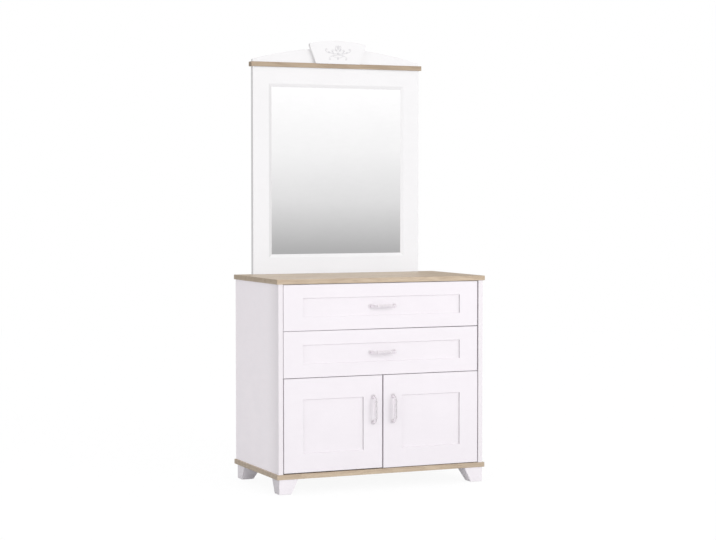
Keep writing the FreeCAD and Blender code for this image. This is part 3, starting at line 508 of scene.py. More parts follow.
@dataclass(frozen=True)
class PressedBoard(Finish):
    """Thin hardboard, smooth on its face, with short felted fibres.

    Args:
        face: Its colour.
        fibre: The colour of its fibres.
    """

    face: Colour
    fibre: Colour

    def lay(self, s: Shading) -> Feeds:
        """Fibres in colour and relief.

        Args:
            s: The material's tree.

        Returns:
            What feeds the shader's sockets.
        """
        bend = s.noise(s.place(), 60.0, 2.0)
        fibres = s.noise(s.stretch(s.place(), 500.0, 500.0, 140.0), 1.0, 3.0, 0.6)
        flecks = s.spread(s.calc("MULTIPLY_ADD", bend, 0.25, fibres), 0.60, 0.80)
        return {
            "Base Color": s.mix(flecks, self.face, self.fibre),
            "Roughness": s.spread(patches(s, 6.0), 0.0, 1.0, 0.62, 0.74),
            "Normal": s.bump(fibres, 0.05 * MM),
        }


@dataclass(frozen=True)
class PlainBeech(Finish):
    """Turned or planed beech.

    Args:
        pale: Its ground.
        fleck: Its short rays.
    """

    pale: Colour
    fleck: Colour

    def lay(self, s: Shading) -> Feeds:
        """Fine streaks with short darker rays.

        Args:
            s: The material's tree.

        Returns:
            What feeds the shader's sockets.
        """
        streaks = s.noise(s.stretch(s.place(), 12.0, 260.0, 90.0), 1.0, 3.0, 0.6)
        short = s.noise(s.stretch(s.place(), 120.0, 700.0, 500.0), 1.0, 1.0)
        ground = s.mix(s.spread(streaks, 0.3, 0.7), self.pale, self.fleck)
        return {
            "Base Color": s.mix(s.times(s.spread(short, 0.60, 0.72), 0.5), ground, self.fleck),
            "Roughness": s.spread(streaks, 0.3, 0.7, 0.5, 0.62),
            "Normal": s.bump(streaks, 0.04 * MM),
        }


@dataclass(frozen=True)
class SilveredGlass(Finish):
    """The silvered pane.

    Args:
        silver: The tint of what it reflects.
    """

    silver: Colour

    def lay(self, s: Shading) -> Feeds:
        """A clean mirror with a trace of wiping in its gloss.

        Args:
            s: The material's tree.

        Returns:
            What feeds the shader's sockets.
        """
        wiped = patches(s, 6.0)
        return {
            "Base Color": s.mix(wiped, self.silver, tuple(0.985 * part for part in self.silver)),
            "Metallic": 1.0,
            "Roughness": s.spread(wiped, 0.0, 1.0, 0.0, 0.012),
        }


@dataclass(frozen=True)
class CastSilver(Finish):
    """Satin silver over a casting, darker where its relief is low.

    Args:
        bright: The colour of its high parts.
        sunk: The colour of its low parts.
        right_painted_shade: Painted shade on the faces that look right, as a brightness factor.
    """

    bright: Colour
    sunk: Colour
    right_painted_shade: float = 1.0

    def lay(self, s: Shading) -> Feeds:
        """Bright ribs, dark hollows, fine casting grain and painted shade on faces that look
        right.

        Args:
            s: The material's tree.

        Returns:
            What feeds the shader's sockets.
        """
        relief = s.add("ShaderNodeAttribute", attribute_name="relief")["Fac"]
        cloud = s.noise(s.place(), 260.0, 4.0)
        raised = s.spread(s.calc("MULTIPLY_ADD", cloud, 0.35, relief), 0.25, 0.85)
        # Painted shade on faces that look right, standing in for a darker reflection.
        right = s.spread(s.facing()["X"], -0.3, 0.3, 1.0, self.right_painted_shade)
        return {
            "Base Color": s.tone(s.mix(raised, self.sunk, self.bright), right),
            "Metallic": 1.0,
            "Roughness": s.spread(raised, 0.0, 1.0, 0.48, 0.34),
            "Normal": rippled(s, 1500.0, 0.02 * MM),
        }


@dataclass(frozen=True)
class PlatedSteel(Finish):
    """Zinc-plated or cast metal fittings.

    Args:
        bright: Its colour.
        dull: Its colour where the plating clouds.
        gloss: Its lowest and highest roughness.
        lines: Drawn lines per metre, across X.
    """

    bright: Colour
    dull: Colour
    gloss: tuple[float, float] = (0.22, 0.42)
    lines: float = 1800.0

    def lay(self, s: Shading) -> Feeds:
        """Clouded plating with faint drawn lines.

        Args:
            s: The material's tree.

        Returns:
            What feeds the shader's sockets.
        """
        cloud = s.spread(s.noise(s.place(), 90.0, 5.0, 0.65), 0.35, 0.65)
        lines = s.noise(s.stretch(s.place(), self.lines, self.lines, 60.0), 1.0, 2.0)
        return {
            "Base Color": s.mix(cloud, self.bright, self.dull),
            "Metallic": 1.0,
            "Roughness": s.spread(cloud, 0.0, 1.0, *self.gloss),
            "Normal": s.bump(lines, 0.008 * MM),
        }


@dataclass(frozen=True)
class MouldedPlastic(Finish):
    """Moulded plastic with a fine spark-eroded texture.

    Args:
        tint: Its colour.
    """

    tint: Colour

    def lay(self, s: Shading) -> Feeds:
        """A fine even grain with a slight change of gloss.

        Args:
            s: The material's tree.

        Returns:
            What feeds the shader's sockets.
        """
        worn = patches(s, 12.0)
        return {
            "Base Color": s.mix(worn, self.tint, tuple(0.94 * part for part in self.tint)),
            "Roughness": s.spread(worn, 0.0, 1.0, 0.42, 0.55),
            "Normal": rippled(s, 2600.0, 0.03 * MM),
        }


@dataclass(frozen=True)
class PaleFloor(Finish):
    """A floor that the camera sees as white.

    Args:
        glow: How strongly it shines for the camera alone.
    """

    glow: float = 0.92

    def lay(self, s: Shading) -> Feeds:
        """Faint flecks for the camera, and plain greys for reflections and other light.

        Args:
            s: The material's tree.

        Returns:
            What feeds the shader's sockets.
        """
        path = s.add("ShaderNodeLightPath")
        fleck = s.spread(s.noise(s.place(), 35.0, 4.0), 0.3, 0.7)
        seen = s.mix(fleck, (0.08, 0.08, 0.08), (0.10, 0.10, 0.10))
        unseen = s.mix(path["Is Glossy Ray"], (0.74, 0.74, 0.74), (0.95, 0.95, 0.95))
        return {
            "Base Color": s.mix(path["Is Camera Ray"], unseen, seen),
            "Roughness": 0.9,
            "Specular IOR Level": 0.0,
            "Emission Color": PURE_WHITE,
            "Emission Strength": s.times(path["Is Camera Ray"], self.glow),
        }


# The fronts' white, with painted shade on the recess walls that look left or right.
WHITE = WhiteSkin(
    "white_foil", "white_board", tint=(0.865, 0.825, 0.855), shade=(0.85, 0.81, 0.84),
    gloss=(0.36, 0.46), coat=0.12, edge_painted_shading=0.64, edge_band=(0.70, 0.85, 0.975, 0.99),
)
# The feet's white, with painted shade on the faces that look left or right.
FOOT_WHITE = WhiteSkin(
    "white_foot", "white_board", tint=(0.875, 0.835, 0.865), shade=(0.86, 0.82, 0.85),
    gloss=(0.36, 0.46), coat=0.12, edge_painted_shading=0.80,
)
# Copies with more painted shade on the left front foot and painted light on the right one.
LEFT_FOOT_SHADED_WHITE = replace(FOOT_WHITE, name="white_left_foot_painted_shade", edge_painted_shading=0.67)
RIGHT_FOOT_LIT_WHITE = replace(
    FOOT_WHITE, name="white_right_foot_painted_light", edge_painted_shading=1.13, edge_band=(0.60, 0.80, 2.0, 3.0)
)
# Painted shade on the side faces towards the front.
CARCASS_WHITE = WhiteSkin(
    "white_melamine", "white_board", tint=(0.85, 0.805, 0.83), shade=(0.83, 0.79, 0.815),
    gloss=(0.46, 0.56), ripple_scale=900.0, ripple_depth=0.025 * MM, front_painted_shade=0.84,
)
# Painted shade on the bevels that look right or down and on the faces that look left or right.
FRAME_WHITE = WhiteSkin(
    "white_mirror_frame", "white_board", tint=(0.825, 0.815, 0.815), shade=(0.815, 0.805, 0.805),
    gloss=(0.36, 0.46), coat=0.12, bevel_painted_shade=0.87, edge_painted_shading=0.79,
)
DRAWER_WHITE = WhiteSkin(
    "white_drawer_board", "drawer_board", tint=(0.82, 0.81, 0.79), shade=(0.80, 0.79, 0.77),
    gloss=(0.5, 0.62), ripple_scale=1100.0,
)
OAK = OakSkin(
    "oak_laminate", "oak_board", pale=(0.615, 0.50, 0.37), middle=(0.505, 0.395, 0.285),
    dark=(0.27, 0.195, 0.135),
)
# A copy with painted shade towards its right end.
OAK_BASE = replace(OAK, name="oak_base", right_painted_shade=0.86)
OAK_STRIP = OakSkin(
    "oak_strip", "oak_board", pale=(0.45, 0.35, 0.25), middle=(0.37, 0.28, 0.195),
    dark=(0.24, 0.17, 0.115),
)
HARDBOARD = PressedBoard("hardboard", "hardboard", (0.74, 0.72, 0.67), (0.58, 0.53, 0.45))
BEECH = PlainBeech("beech", "beech", (0.62, 0.43, 0.26), (0.50, 0.32, 0.18))
MIRROR = SilveredGlass("silvered_glass", "mirror_glass", (0.955, 0.95, 0.955))
LEVEL_METAL = CastSilver("satin_silver", "handle_metal", (0.93, 0.885, 0.915), (0.42, 0.4, 0.41))
# A lighter copy of the level handles' silver as painted light, with painted shade on the right.
UPRIGHT_METAL = CastSilver(
    "satin_silver_upright_painted_light_and_shade", "handle_metal", (0.97, 0.925, 0.955), (0.70, 0.67, 0.69), 0.58
)
STEEL = PlatedSteel("zinc_plated_steel", "steel", (0.72, 0.72, 0.73), (0.58, 0.58, 0.60))
CAST = PlatedSteel(
    "cast_zinc", "cast_metal", (0.52, 0.52, 0.53), (0.42, 0.42, 0.43), (0.4, 0.6), 700.0
)
PLASTIC = MouldedPlastic("white_plastic", "plastic", (0.80, 0.79, 0.78))
RELIEF = WhiteSkin(
    "grey_relief", "ornament_relief", tint=(0.68, 0.67, 0.68), shade=(0.62, 0.61, 0.62),
    gloss=(0.4, 0.5), ripple_scale=2000.0, ripple_depth=0.02 * MM, dust=0.0,
)
FLOOR = PaleFloor("pale_floor", "")


# ---- Meshes ---------------------------------------------------------------------------------


def add_object(name: str, data: bpy.types.ID) -> bpy.types.Object:
    """Adds an object to the scene.

    Args:
        name: Its name.
        data: Its mesh, light or camera.

    Returns:
        The new object.
    """
    made = bpy.data.objects.new(name, data)
    bpy.context.scene.collection.objects.link(made)
    return made


def add_mesh(name: str, mesh: bmesh.types.BMesh, finish: Finish) -> bpy.types.Object:
    """Adds a mesh to the scene.

    Args:
        name: Its name.
        mesh: Its geometry, which is freed.
        finish: Its material.

    Returns:
        The new object.
    """
    data = bpy.data.meshes.new(name)
    mesh.to_mesh(data)
    mesh.free()
    data.materials.append(finish.material())
    return add_object(name, data)


def place_piece(
    name: str, mesh: bmesh.types.BMesh, finish: Finish, body: str,
    stands_for: Sequence[str] = (), crease: float = 35.0,
) -> bpy.types.Object:
    """Turns finished geometry into a piece of the dresser.

    Args:
        name: The piece's name.
        mesh: Its geometry in the row's frame, which is freed.
        finish: Its material.
        body: The body that it rides on.
        stands_for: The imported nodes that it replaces.
        crease: Edges that turn by more than this many degrees stay sharp.

    Returns:
        The new object.
    """
    limit = math.radians(crease)
    for face in mesh.faces:
        face.smooth = True
    for edge in mesh.edges:
        edge.smooth = edge.is_manifold and edge.calc_face_angle(0.0) <= limit
    piece = add_mesh(name, mesh, finish)
    piece.modifiers.new("even_shading", "WEIGHTED_NORMAL").keep_sharp = True
    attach(piece, body)
    if stands_for:
        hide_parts(*stands_for)
    LOG.info("%s rides on %s and replaces %s", name, body, ", ".join(stands_for) or "nothing")
    return piece


def copy_of(node: str) -> bmesh.types.BMesh:
    """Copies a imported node's geometry, with its flat faces whole again.

    Args:
        node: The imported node.

    Returns:
        The copy, to be freed in the end.
    """
    mesh = bmesh.new()
    mesh.from_mesh(frame["nodes"][node].data)
    bmesh.ops.remove_doubles(mesh, verts=mesh.verts, dist=0.002 * MM)
    bmesh.ops.dissolve_limit(
        mesh, angle_limit=math.radians(0.4), verts=mesh.verts, edges=mesh.edges
    )
    return mesh


def is_long_corner(edge: bmesh.types.BMEdge) -> bool:
    """Whether an edge is a long outward corner of a board, and not part of a bore.

    Args:
        edge: The edge.

    Returns:
        Whether it is one.
    """
    shortest, flattest = 12 * MM, math.radians(32)
    if not edge.is_manifold or edge.calc_length() < shortest:
        return False
    return edge.is_convex and edge.calc_face_angle(0.0) > flattest


def soften(
    mesh: bmesh.types.BMesh, width: float,
    chosen: Callable[[bmesh.types.BMEdge], bool] = is_long_corner, segments: int = 2,
) -> None:
    """Bevels the chosen edges of a mesh.

    Args:
        mesh: The mesh to change.
        width: The bevel's width in metres.
        chosen: Says of an edge whether it is bevelled.
        segments: The bevel's number of faces.
    """
    edges = [edge for edge in mesh.edges if chosen(edge)]
    bmesh.ops.bevel(
        mesh, geom=edges, offset=width, offset_type="OFFSET", segments=segments, profile=0.5,
        affect="EDGES", clamp_overlap=True,
    )


def ease_board(
    node: str, finish: Finish, width: float = 0.5 * MM, crease: float = 35.0
) -> bpy.types.Object:
    """Replaces a packed board by a copy with softened corners.

    Args:
        node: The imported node.
        finish: The board's material.
        width: How wide its corners are broken, in metres.
        crease: Edges that turn by more than this many degrees stay sharp.

    Returns:
        The new object.
    """
    mesh = copy_of(node)
    soften(mesh, width)
    return place_piece(f"{node}_eased", mesh, finish, BODY_OF[node], (node,), crease)


def raise_from(piece: bpy.types.Object, height: float, rise: float) -> None:
    """Raises what stands higher than a height in a piece.

    Args:
        piece: The piece.
        height: The height.
        rise: How far it is raised.
    """
    for vertex in piece.data.vertices:
        if vertex.co.z > height:
            vertex.co.z += rise


def dress_nodes(finish: Finish, *nodes: str) -> None:
    """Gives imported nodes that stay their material.

    Args:
        finish: The material.
        *nodes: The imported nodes.
    """
    for node in nodes:
        solid = frame["nodes"][node]
        for slot in solid.material_slots:
            slot.material = finish.material()
        if not solid.material_slots:
            solid.data.materials.append(finish.material())
        LOG.info("%s keeps its solid, in %s", node, finish.name)


def islands(node: str) -> list[tuple[Vector, Vector]]:
    """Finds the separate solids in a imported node.

    Args:
        node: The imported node.

    Returns:
        The lowest and highest corner of each solid, in order.
    """
    mesh = copy_of(node)
    unseen = set(mesh.verts)
    boxes = []
    while unseen:
        stack = [unseen.pop()]
        points = []
        while stack:
            vertex = stack.pop()
            points.append(vertex.co.copy())
            near = {edge.other_vert(vertex) for edge in vertex.link_edges} & unseen
            unseen -= near
            stack.extend(near)
        boxes.append(tuple(Vector([pick(axis) for axis in zip(*points)]) for pick in (min, max)))
    mesh.free()
    return sorted(boxes, key=lambda box: tuple(box[0]))


def shares(count: int) -> list[float]:
    """Evenly spaced numbers from 0 to 1."""
    return [index / (count - 1) for index in range(count)]


def turns(count: int) -> list[float]:
    """Evenly spaced angles round a full turn."""
    return [2 * math.pi * index / count for index in range(count)]


class Skin:
    """Grows closed skins through rows of points, in a piece's own directions.

    Each point is (along, across, out, relief). The first three are its place, which is turned
    into the row's frame, and its relief runs from 0, sunk, to 1, raised.
    """

    def __init__(self, place: Callable[[float, float, float], Vector]) -> None:
        """Starts an empty skin.

        Args:
            place: Turns a place on the piece into the row's frame.
        """
        self.mesh = bmesh.new()
        self.relief = self.mesh.verts.layers.float.new("relief")
        self.place = place

    def grow(self, rows: Rows) -> list[list[bmesh.types.BMVert]]:
        """Adds the vertices of rows of points.

        Args:
            rows: The points, row by row.

        Returns:
            The vertices, row by row.
        """
        made = [[self.mesh.verts.new(self.place(*point[:3])) for point in row] for row in rows]
        for vertices, row in zip(made, rows):
            for vertex, point in zip(vertices, row):
                vertex[self.relief] = point[3]
        return made

    def tube(self, rings: Rows) -> None:
        """Adds a capped tube.

        Args:
            rings: Its rings of points, each in the same order round.
        """
        made = self.grow(rings)
        for first, second in zip(made, made[1:]):
            for i in range(len(first)):
                j = (i + 1) % len(first)
                self.mesh.faces.new((first[i], first[j], second[j], second[i]))
        self.mesh.faces.new(list(reversed(made[0])))
        self.mesh.faces.new(made[-1])

    def slab(self, rows: Rows) -> None:
        """Adds a solid between a grid of raised points and the plane out = 0.

        Args:
            rows: The raised points, row by row.
        """
        top = self.grow(rows)
        floor = self.grow([[(*point[:2], 0.0, 0.0) for point in row] for row in rows])
        add = self.mesh.faces.new
        height, width = len(rows), len(rows[0])
        for i in range(height - 1):
            for j in range(width - 1):
                add((top[i][j], top[i][j + 1], top[i + 1][j + 1], top[i + 1][j]))
                add((floor[i][j], floor[i + 1][j], floor[i + 1][j + 1], floor[i][j + 1]))
        rim = [(0, j) for j in range(width)] + [(i, width - 1) for i in range(1, height)]
        rim += [(height - 1, j) for j in range(width - 2, -1, -1)]
        rim += [(i, 0) for i in range(height - 2, 0, -1)]
        for (i, j), (k, m) in zip(rim, rim[1:] + rim[:1]):
            add((floor[i][j], floor[k][m], top[k][m], top[i][j]))

    def finished(self) -> bmesh.types.BMesh:
        """The grown mesh, with its faces turned outwards."""
        bmesh.ops.recalc_face_normals(self.mesh, faces=self.mesh.faces)
        return self.mesh


# ---- Sub-assemblies -------------------------------------------------------------------------


class Lie(Enum):
    """Which way a handle runs."""

    LEVEL = "level"
    UPRIGHT = "upright"


@dataclass
class BowHandle:
    """A cast bow handle: a beaded and fluted grip on two legs with shell feet.

    Args:
        node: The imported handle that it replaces.
        lie: Which way it runs.
        half_spacing: From its middle to each screw.
        half_grip: From its middle to where each leg begins.
        grip_height: From the face that its feet stand on to the grip's axis.
        swell: The grip's radius in the middle.
        waist: The grip's radius beside its beads.
        bead: The beads' radius.
        bead_at: From its middle to each bead.
        neck: The radius between a bead and a leg.
        flutes: How many flutes run round the grip.
        twist: How far they turn, in radians per metre.
        shell_reach: How far the shell feet reach beyond the screws.
        shell_half_width: Half a shell's width at its narrow end.
        shell_half_angle: Half the angle that a shell opens by, in degrees.
        shell_height: How far a shell stands out.
        shell_ribs: How many ribs a shell has.
    """

    node: str
    lie: Lie
    half_spacing: float = 48 * MM
    half_grip: float = 37 * MM
    grip_height: float = 26 * MM
    swell: float = 5.2 * MM
    waist: float = 4.4 * MM
    bead: float = 6.0 * MM
    bead_at: float = 30 * MM
    neck: float = 3.0 * MM
    flutes: int = 8
    twist: float = 260.0
    shell_reach: float = 8.4 * MM
    shell_half_width: float = 4.0 * MM
    shell_half_angle: float = 16.5
    shell_height: float = 3.2 * MM
    shell_ribs: int = 5

    # How finely the grip, a leg and a shell are divided: along, and round or across.
    GRIP_STEPS = (149, 40)
    LEG_STEPS = (15, 24)
    SHELL_STEPS = (15, 41)

    def build(self) -> bpy.types.Object:
        """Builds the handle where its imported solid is.

        Returns:
            The new object.
        """
        low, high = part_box(self.node)
        middle = (low + high) / 2

        def place(along: float, across: float, out: float) -> Vector:
            """The handle's own point in the row's frame."""
            right, up = (along, across) if self.lie is Lie.LEVEL else (across, along)
            return Vector((middle.x + right, high.y - out, middle.z + up))

        skin = Skin(place)
        skin.tube(self.grip())
        for side in (-1, 1):
            skin.tube(self.leg(side))
            skin.slab(self.shell(side))
        finish = LEVEL_METAL if self.lie is Lie.LEVEL else UPRIGHT_METAL
        body = BODY_OF[self.node]
        return place_piece(f"{self.node}_cast", skin.finished(), finish, body, (self.node,), 50.0)

    def radius_at(self, along: float) -> float:
        """The grip's plain radius.

        Args:
            along: The distance from its middle.

        Returns:
            The radius there.
        """
        distance = abs(along)
        share = min(distance / self.bead_at, 1.0)
        radius = self.swell + (self.waist - self.swell) * share**1.5
        if distance > self.bead_at:
            radius = self.neck
        # Each bead's place, radius and half width.
        for at, size, half_width in (
            (self.bead_at, self.bead, 3.4 * MM),
            (self.bead_at - 5.0 * MM, 0.86 * self.bead, 1.1 * MM),
            (self.half_grip - 1.5 * MM, 0.72 * self.bead, 1.3 * MM),
        ):
            offset = (distance - at) / half_width
            if abs(offset) < 1:
                bulge = (size - self.neck) * math.sqrt(1 - offset**2)
                radius = max(radius, self.neck + bulge)
        return radius

    def grip(self) -> Rows:
        """Turns the grip, fluted between its beads.

        Returns:
            Its rings.
        """
        count, around = self.GRIP_STEPS
        fluted = self.bead_at - 7.5 * MM
        rings = []
        for share in shares(count):
            along = (2 * share - 1) * self.half_grip
            radius = self.radius_at(along)
            depth = 0.0
            if abs(along) < fluted:
                depth = 0.10 * math.cos(0.5 * math.pi * along / fluted) ** 0.5
            ring = []
            for angle in turns(around):
                flute = 0.5 + 0.5 * math.cos(self.flutes * angle + self.twist * along)
                reach = radius * (1 - depth * (1 - flute))
                across, out = reach * math.cos(angle), self.grip_height + reach * math.sin(angle)
                ring.append((along, across, out, self.grip_relief(along, flute if depth else 1.0)))
            rings.append(ring)
        return rings

    def grip_relief(self, along: float, flute: float) -> float:
        """How raised the grip is: low in flutes and beside beads.

        Args:
            along: The distance from its middle.
            flute: How high the flute is there, from 0 to 1.

        Returns:
            The relief.
        """
        distance = abs(along)
        from_bead = abs(distance - (self.bead_at - 3.6 * MM))
        from_leg = abs(distance - self.half_grip + 3 * MM)
        beside_bead = min(min(from_bead, from_leg) / (1.2 * MM), 1.0)
        return min(0.25 + 0.75 * flute, 0.2 + 0.8 * beside_bead)

    def leg(self, side: int) -> Rows:
        """Bends the leg from the grip's end down to a shell foot.

        Args:
            side: -1 or 1, for the one or the other end of the handle.

        Returns:
            Its rings.
        """
        count, around = self.LEG_STEPS
        start = Vector((side * (self.half_grip - 1.2 * MM), self.grip_height))
        bend = Vector((side * (self.half_spacing - 3 * MM), self.grip_height - 0.5 * MM))
        end = Vector((side * self.half_spacing, 1.0 * MM))
        rings = []
        for share in shares(count):
            rest = 1 - share
            at = rest * rest * start + 2 * share * rest * bend + share * share * end
            heading = (rest * (bend - start) + share * (end - bend)).normalized()
            aside = Vector((-heading.y, heading.x))
            thick = (2.5 + 1.6 * share**3) * MM
            wide = (3.0 + 1.2 * math.sin(math.pi * share) + 1.4 * share**3) * MM
            ring = []
            for angle in turns(around):
                point = at + aside * (thick * math.cos(angle))
                ring.append((point.x, wide * math.sin(angle), point.y, 0.95 - 0.55 * share**2))
            rings.append(ring)
        return rings

    def shell(self, side: int) -> Rows:
        """Spreads a ribbed shell foot that opens away from the handle's middle.

        Args:
            side: -1 or 1, for the one or the other end of the handle.

        Returns:
            Its raised points.
        """
        rows, columns = self.SHELL_STEPS
        half_angle = math.radians(self.shell_half_angle)
        inner = self.shell_half_width / math.tan(half_angle)
        apex = self.half_spacing - self.shell_reach - inner
        outer = self.half_spacing + self.shell_reach - apex

        def point(share: float, turn: float) -> Point:
            """Finds a raised point.

            Args:
                share: How far along the shell it is.
                turn: How far across the shell it is.

            Returns:
                The point.
            """
            angle = (2 * turn - 1) * half_angle
            rib = abs(math.cos(math.pi * self.shell_ribs * (turn - 0.5)))
            scallop = 1 - 0.035 * (1 - rib) - 0.035 * (2 * turn - 1) ** 2
            reach = inner + share * (scallop * outer - inner)
            dome = math.cos(0.5 * math.pi * (2 * turn - 1)) ** 0.5
            fall = (1 - 0.55 * share**2) * min(0.15 + 2.6 * share, 1.0)
            height = 0.5 * MM + self.shell_height * fall * (0.35 + 0.65 * dome)
            height = max(height - 0.7 * MM * (1 - rib) * share**0.5, 0.4 * MM)
            along = side * (apex + reach * math.cos(angle))
            relief = 0.15 + 0.85 * rib * (0.5 + 0.5 * share)
            return along, reach * math.sin(angle), height, relief

        return [[point(share, turn) for turn in shares(columns)] for share in shares(rows)]


@dataclass
class Screw:
    """A pan-head screw with a cross recess.

    Args:
        tip: The far end of its shank.
        way: The direction from its head to its tip.
        length: From its head's top to its tip.
        head_radius: The head's radius.
        head_height: The head's height.
        shank_radius: The shank's radius.
        around: How many points each ring has, a multiple of 8.
    """

    tip: Vector
    way: Vector
    length: float
    head_radius: float = 4.0 * MM
    head_height: float = 2.0 * MM
    shank_radius: float = 2.0 * MM
    around: int = 32

    def add_to(self, mesh: bmesh.types.BMesh) -> None:
        """Adds the screw to a mesh that holds several.

        Args:
            mesh: The mesh.
        """
        across = self.way.orthogonal().normalized()
        other = self.way.cross(across)
        top = self.tip - self.way * self.length
        rise = 0.28 * self.head_height
        # Each ring's radius and its depth below the foot of the head's dome.
        profile = [
            (share * self.head_radius, -0.28 * self.head_height * (1 - share**2))
            for share in (0.18, 0.36, 0.55, 0.8)
        ]
        profile += [
            (self.head_radius, 0.35 * self.head_height),
            (self.head_radius, self.head_height),
            (self.shank_radius, self.head_height),
            (self.shank_radius, 0.92 * self.length),
            (0.3 * self.shank_radius, self.length),
        ]
        rings = []
        for radius, depth in profile:
            ring = []
            for index, angle in enumerate(turns(self.around)):
                in_cross = radius < 0.6 * self.head_radius and index % 8 in (0, 1, 7)
                sunk = 0.45 * self.head_height if in_cross else 0.0
                point = top + self.way * min(max(depth, -rise) + sunk + rise, self.length)
                point += radius * (across * math.cos(angle) + other * math.sin(angle))
                ring.append(mesh.verts.new(point))
            rings.append(ring)
        for first, second in zip(rings, rings[1:]):
            for i in range(self.around):
                j = (i + 1) % self.around
                mesh.faces.new((first[i], second[i], second[j], first[j]))
        mesh.faces.new(rings[0])
        mesh.faces.new(list(reversed(rings[-1])))


def place_screws(
    name: str, screws: Iterable[Screw], body: str, stands_for: Sequence[str] = ()
) -> bpy.types.Object:
    """Adds a piece that holds several screws.

    Args:
        name: The piece's name.
        screws: The screws.
        body: The body that it rides on.
        stands_for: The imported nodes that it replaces.

    Returns:
        The new object.
    """
    mesh = bmesh.new()
    for screw in screws:
        screw.add_to(mesh)
    bmesh.ops.recalc_face_normals(mesh, faces=mesh.faces)
    return place_piece(name, mesh, STEEL, body, stands_for)


def replace_screws(node: str, way: Vector | None = FORWARD) -> bpy.types.Object:
    """Replaces a node of packed screws by screws with cross recesses.

    Args:
        node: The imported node, one screw per solid.
        way: The direction that they are driven in, or None for outwards along X.

    Returns:
        The new object.
    """
    screws = []
    for low, high in islands(node):
        middle = (low + high) / 2
        driven = way or Vector((math.copysign(1.0, middle.x), 0.0, 0.0))
        half = abs((high - low).dot(driven)) / 2
        screws.append(Screw(middle + driven * half, driven, 2 * half))
    return place_screws(f"{node}_cross_head", screws, BODY_OF[node], (node,))


@dataclass
class Front:
    """A door or drawer front with a bevelled recess inside its frame.

    Args:
        node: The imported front.
        soft: How widely the recess's edges are softened.
        margin: How far inside the front's edges the recess's edges all lie.
        drift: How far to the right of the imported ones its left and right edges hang.
        lift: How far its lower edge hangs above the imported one.
        tilt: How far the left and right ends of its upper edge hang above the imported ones.
    """

    node: str
    soft: float = 0.6 * MM
    margin: float = 20 * MM
    drift: float = 0.0
    lift: float = 0.0
    tilt: tuple[float, float] = (0.0, 0.0)

    def build(self) -> bpy.types.Object:
        """Builds the front with the soft edges that a foil gives its recess.

        Returns:
            The new object.
        """
        low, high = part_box(self.node)
        mesh = copy_of(self.node)

        def in_recess(edge: bmesh.types.BMEdge) -> bool:
            """Whether an edge belongs to the recess in the front's face.

            Args:
                edge: The edge.

            Returns:
                Whether it does.
            """
            if edge.calc_length() < 5 * MM or edge.calc_face_angle(0.0) < math.radians(8):
                return False
            return all(
                low.x + self.margin < vertex.co.x < high.x - self.margin
                and low.z + self.margin < vertex.co.z < high.z - self.margin
                and vertex.co.y < low.y + 6 * MM
                for vertex in edge.verts
            )

        soften(mesh, self.soft, in_recess, segments=3)
        for vertex in mesh.verts:
            if not low.x + self.margin < vertex.co.x < high.x - self.margin:
                vertex.co.x += self.drift
            if vertex.co.z < low.z + self.margin:
                vertex.co.z += self.lift
            if vertex.co.z > high.z - self.margin:
                share = (vertex.co.x - low.x) / (high.x - low.x)
                vertex.co.z += self.tilt[0] + (self.tilt[1] - self.tilt[0]) * share
        body = BODY_OF[self.node]
        return place_piece(f"{self.node}_foiled", mesh, WHITE, body, (self.node,), 40.0)


@dataclass
class Drawer:
    """A drawer: its front, box and handle.

    Args:
        name: The drawer's body.
        tilt: How far the ends of its front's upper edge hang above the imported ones.
        drift: How far to the right its front hangs.
        board_break: How wide the box's corners are broken.
    """

    name: str
    tilt: tuple[float, float] = (0.0, 0.0)
    drift: float = -1.4 * MM
    board_break: float = 0.4 * MM

    def build(self) -> None:
        """Builds the drawer's pieces."""
        Front(f"{self.name}_front", drift=self.drift, tilt=self.tilt).build()
        for part in ("left_side", "right_side", "back"):
            ease_board(f"{self.name}_{part}", DRAWER_WHITE, self.board_break)
        dress_nodes(HARDBOARD, f"{self.name}_bottom")
        BowHandle(f"{self.name}_handle", Lie.LEVEL).build()
        replace_screws(f"{self.name}_handle_screws")


@dataclass
class Door:
    """A door: its front, hinge cups and handle.

    Args:
        side: left or right.
        lift: How far the front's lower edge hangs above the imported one.
        ear_screw_inset: From each end of a cup's ears to its screw.
        ear_screw_size: The length, head radius, head height and shank radius of those screws.
    """

    side: str
    lift: float = 0.0
    ear_screw_inset: float = 6 * MM
    ear_screw_size: tuple[float, ...] = (13 * MM, 3.2 * MM, 1.2 * MM, 1.5 * MM)

    def build(self) -> None:
        """Builds the door's pieces."""
        Front(f"{self.side}_door_front", lift=self.lift).build()
        dress_nodes(STEEL, f"{self.side}_hinge_cups", f"{self.side}_hinge_pins")
        BowHandle(f"{self.side}_door_handle", Lie.UPRIGHT).build()
        replace_screws(f"{self.side}_door_handle_screws")
        self.add_ear_screws()

    def add_ear_screws(self) -> None:
        """Adds the screws that hold each hinge cup to the door."""
        length, _, head_height, _ = self.ear_screw_size
        screws = []
        for low, high in islands(f"{self.side}_hinge_cups"):
            middle = (low + high) / 2
            for z in (low.z + self.ear_screw_inset, high.z - self.ear_screw_inset):
                tip = Vector((middle.x, high.y + head_height, z)) + FORWARD * length
                screws.append(Screw(tip, FORWARD, *self.ear_screw_size))
        place_screws(f"{self.side}_cup_screws", screws, f"{self.side}_door")


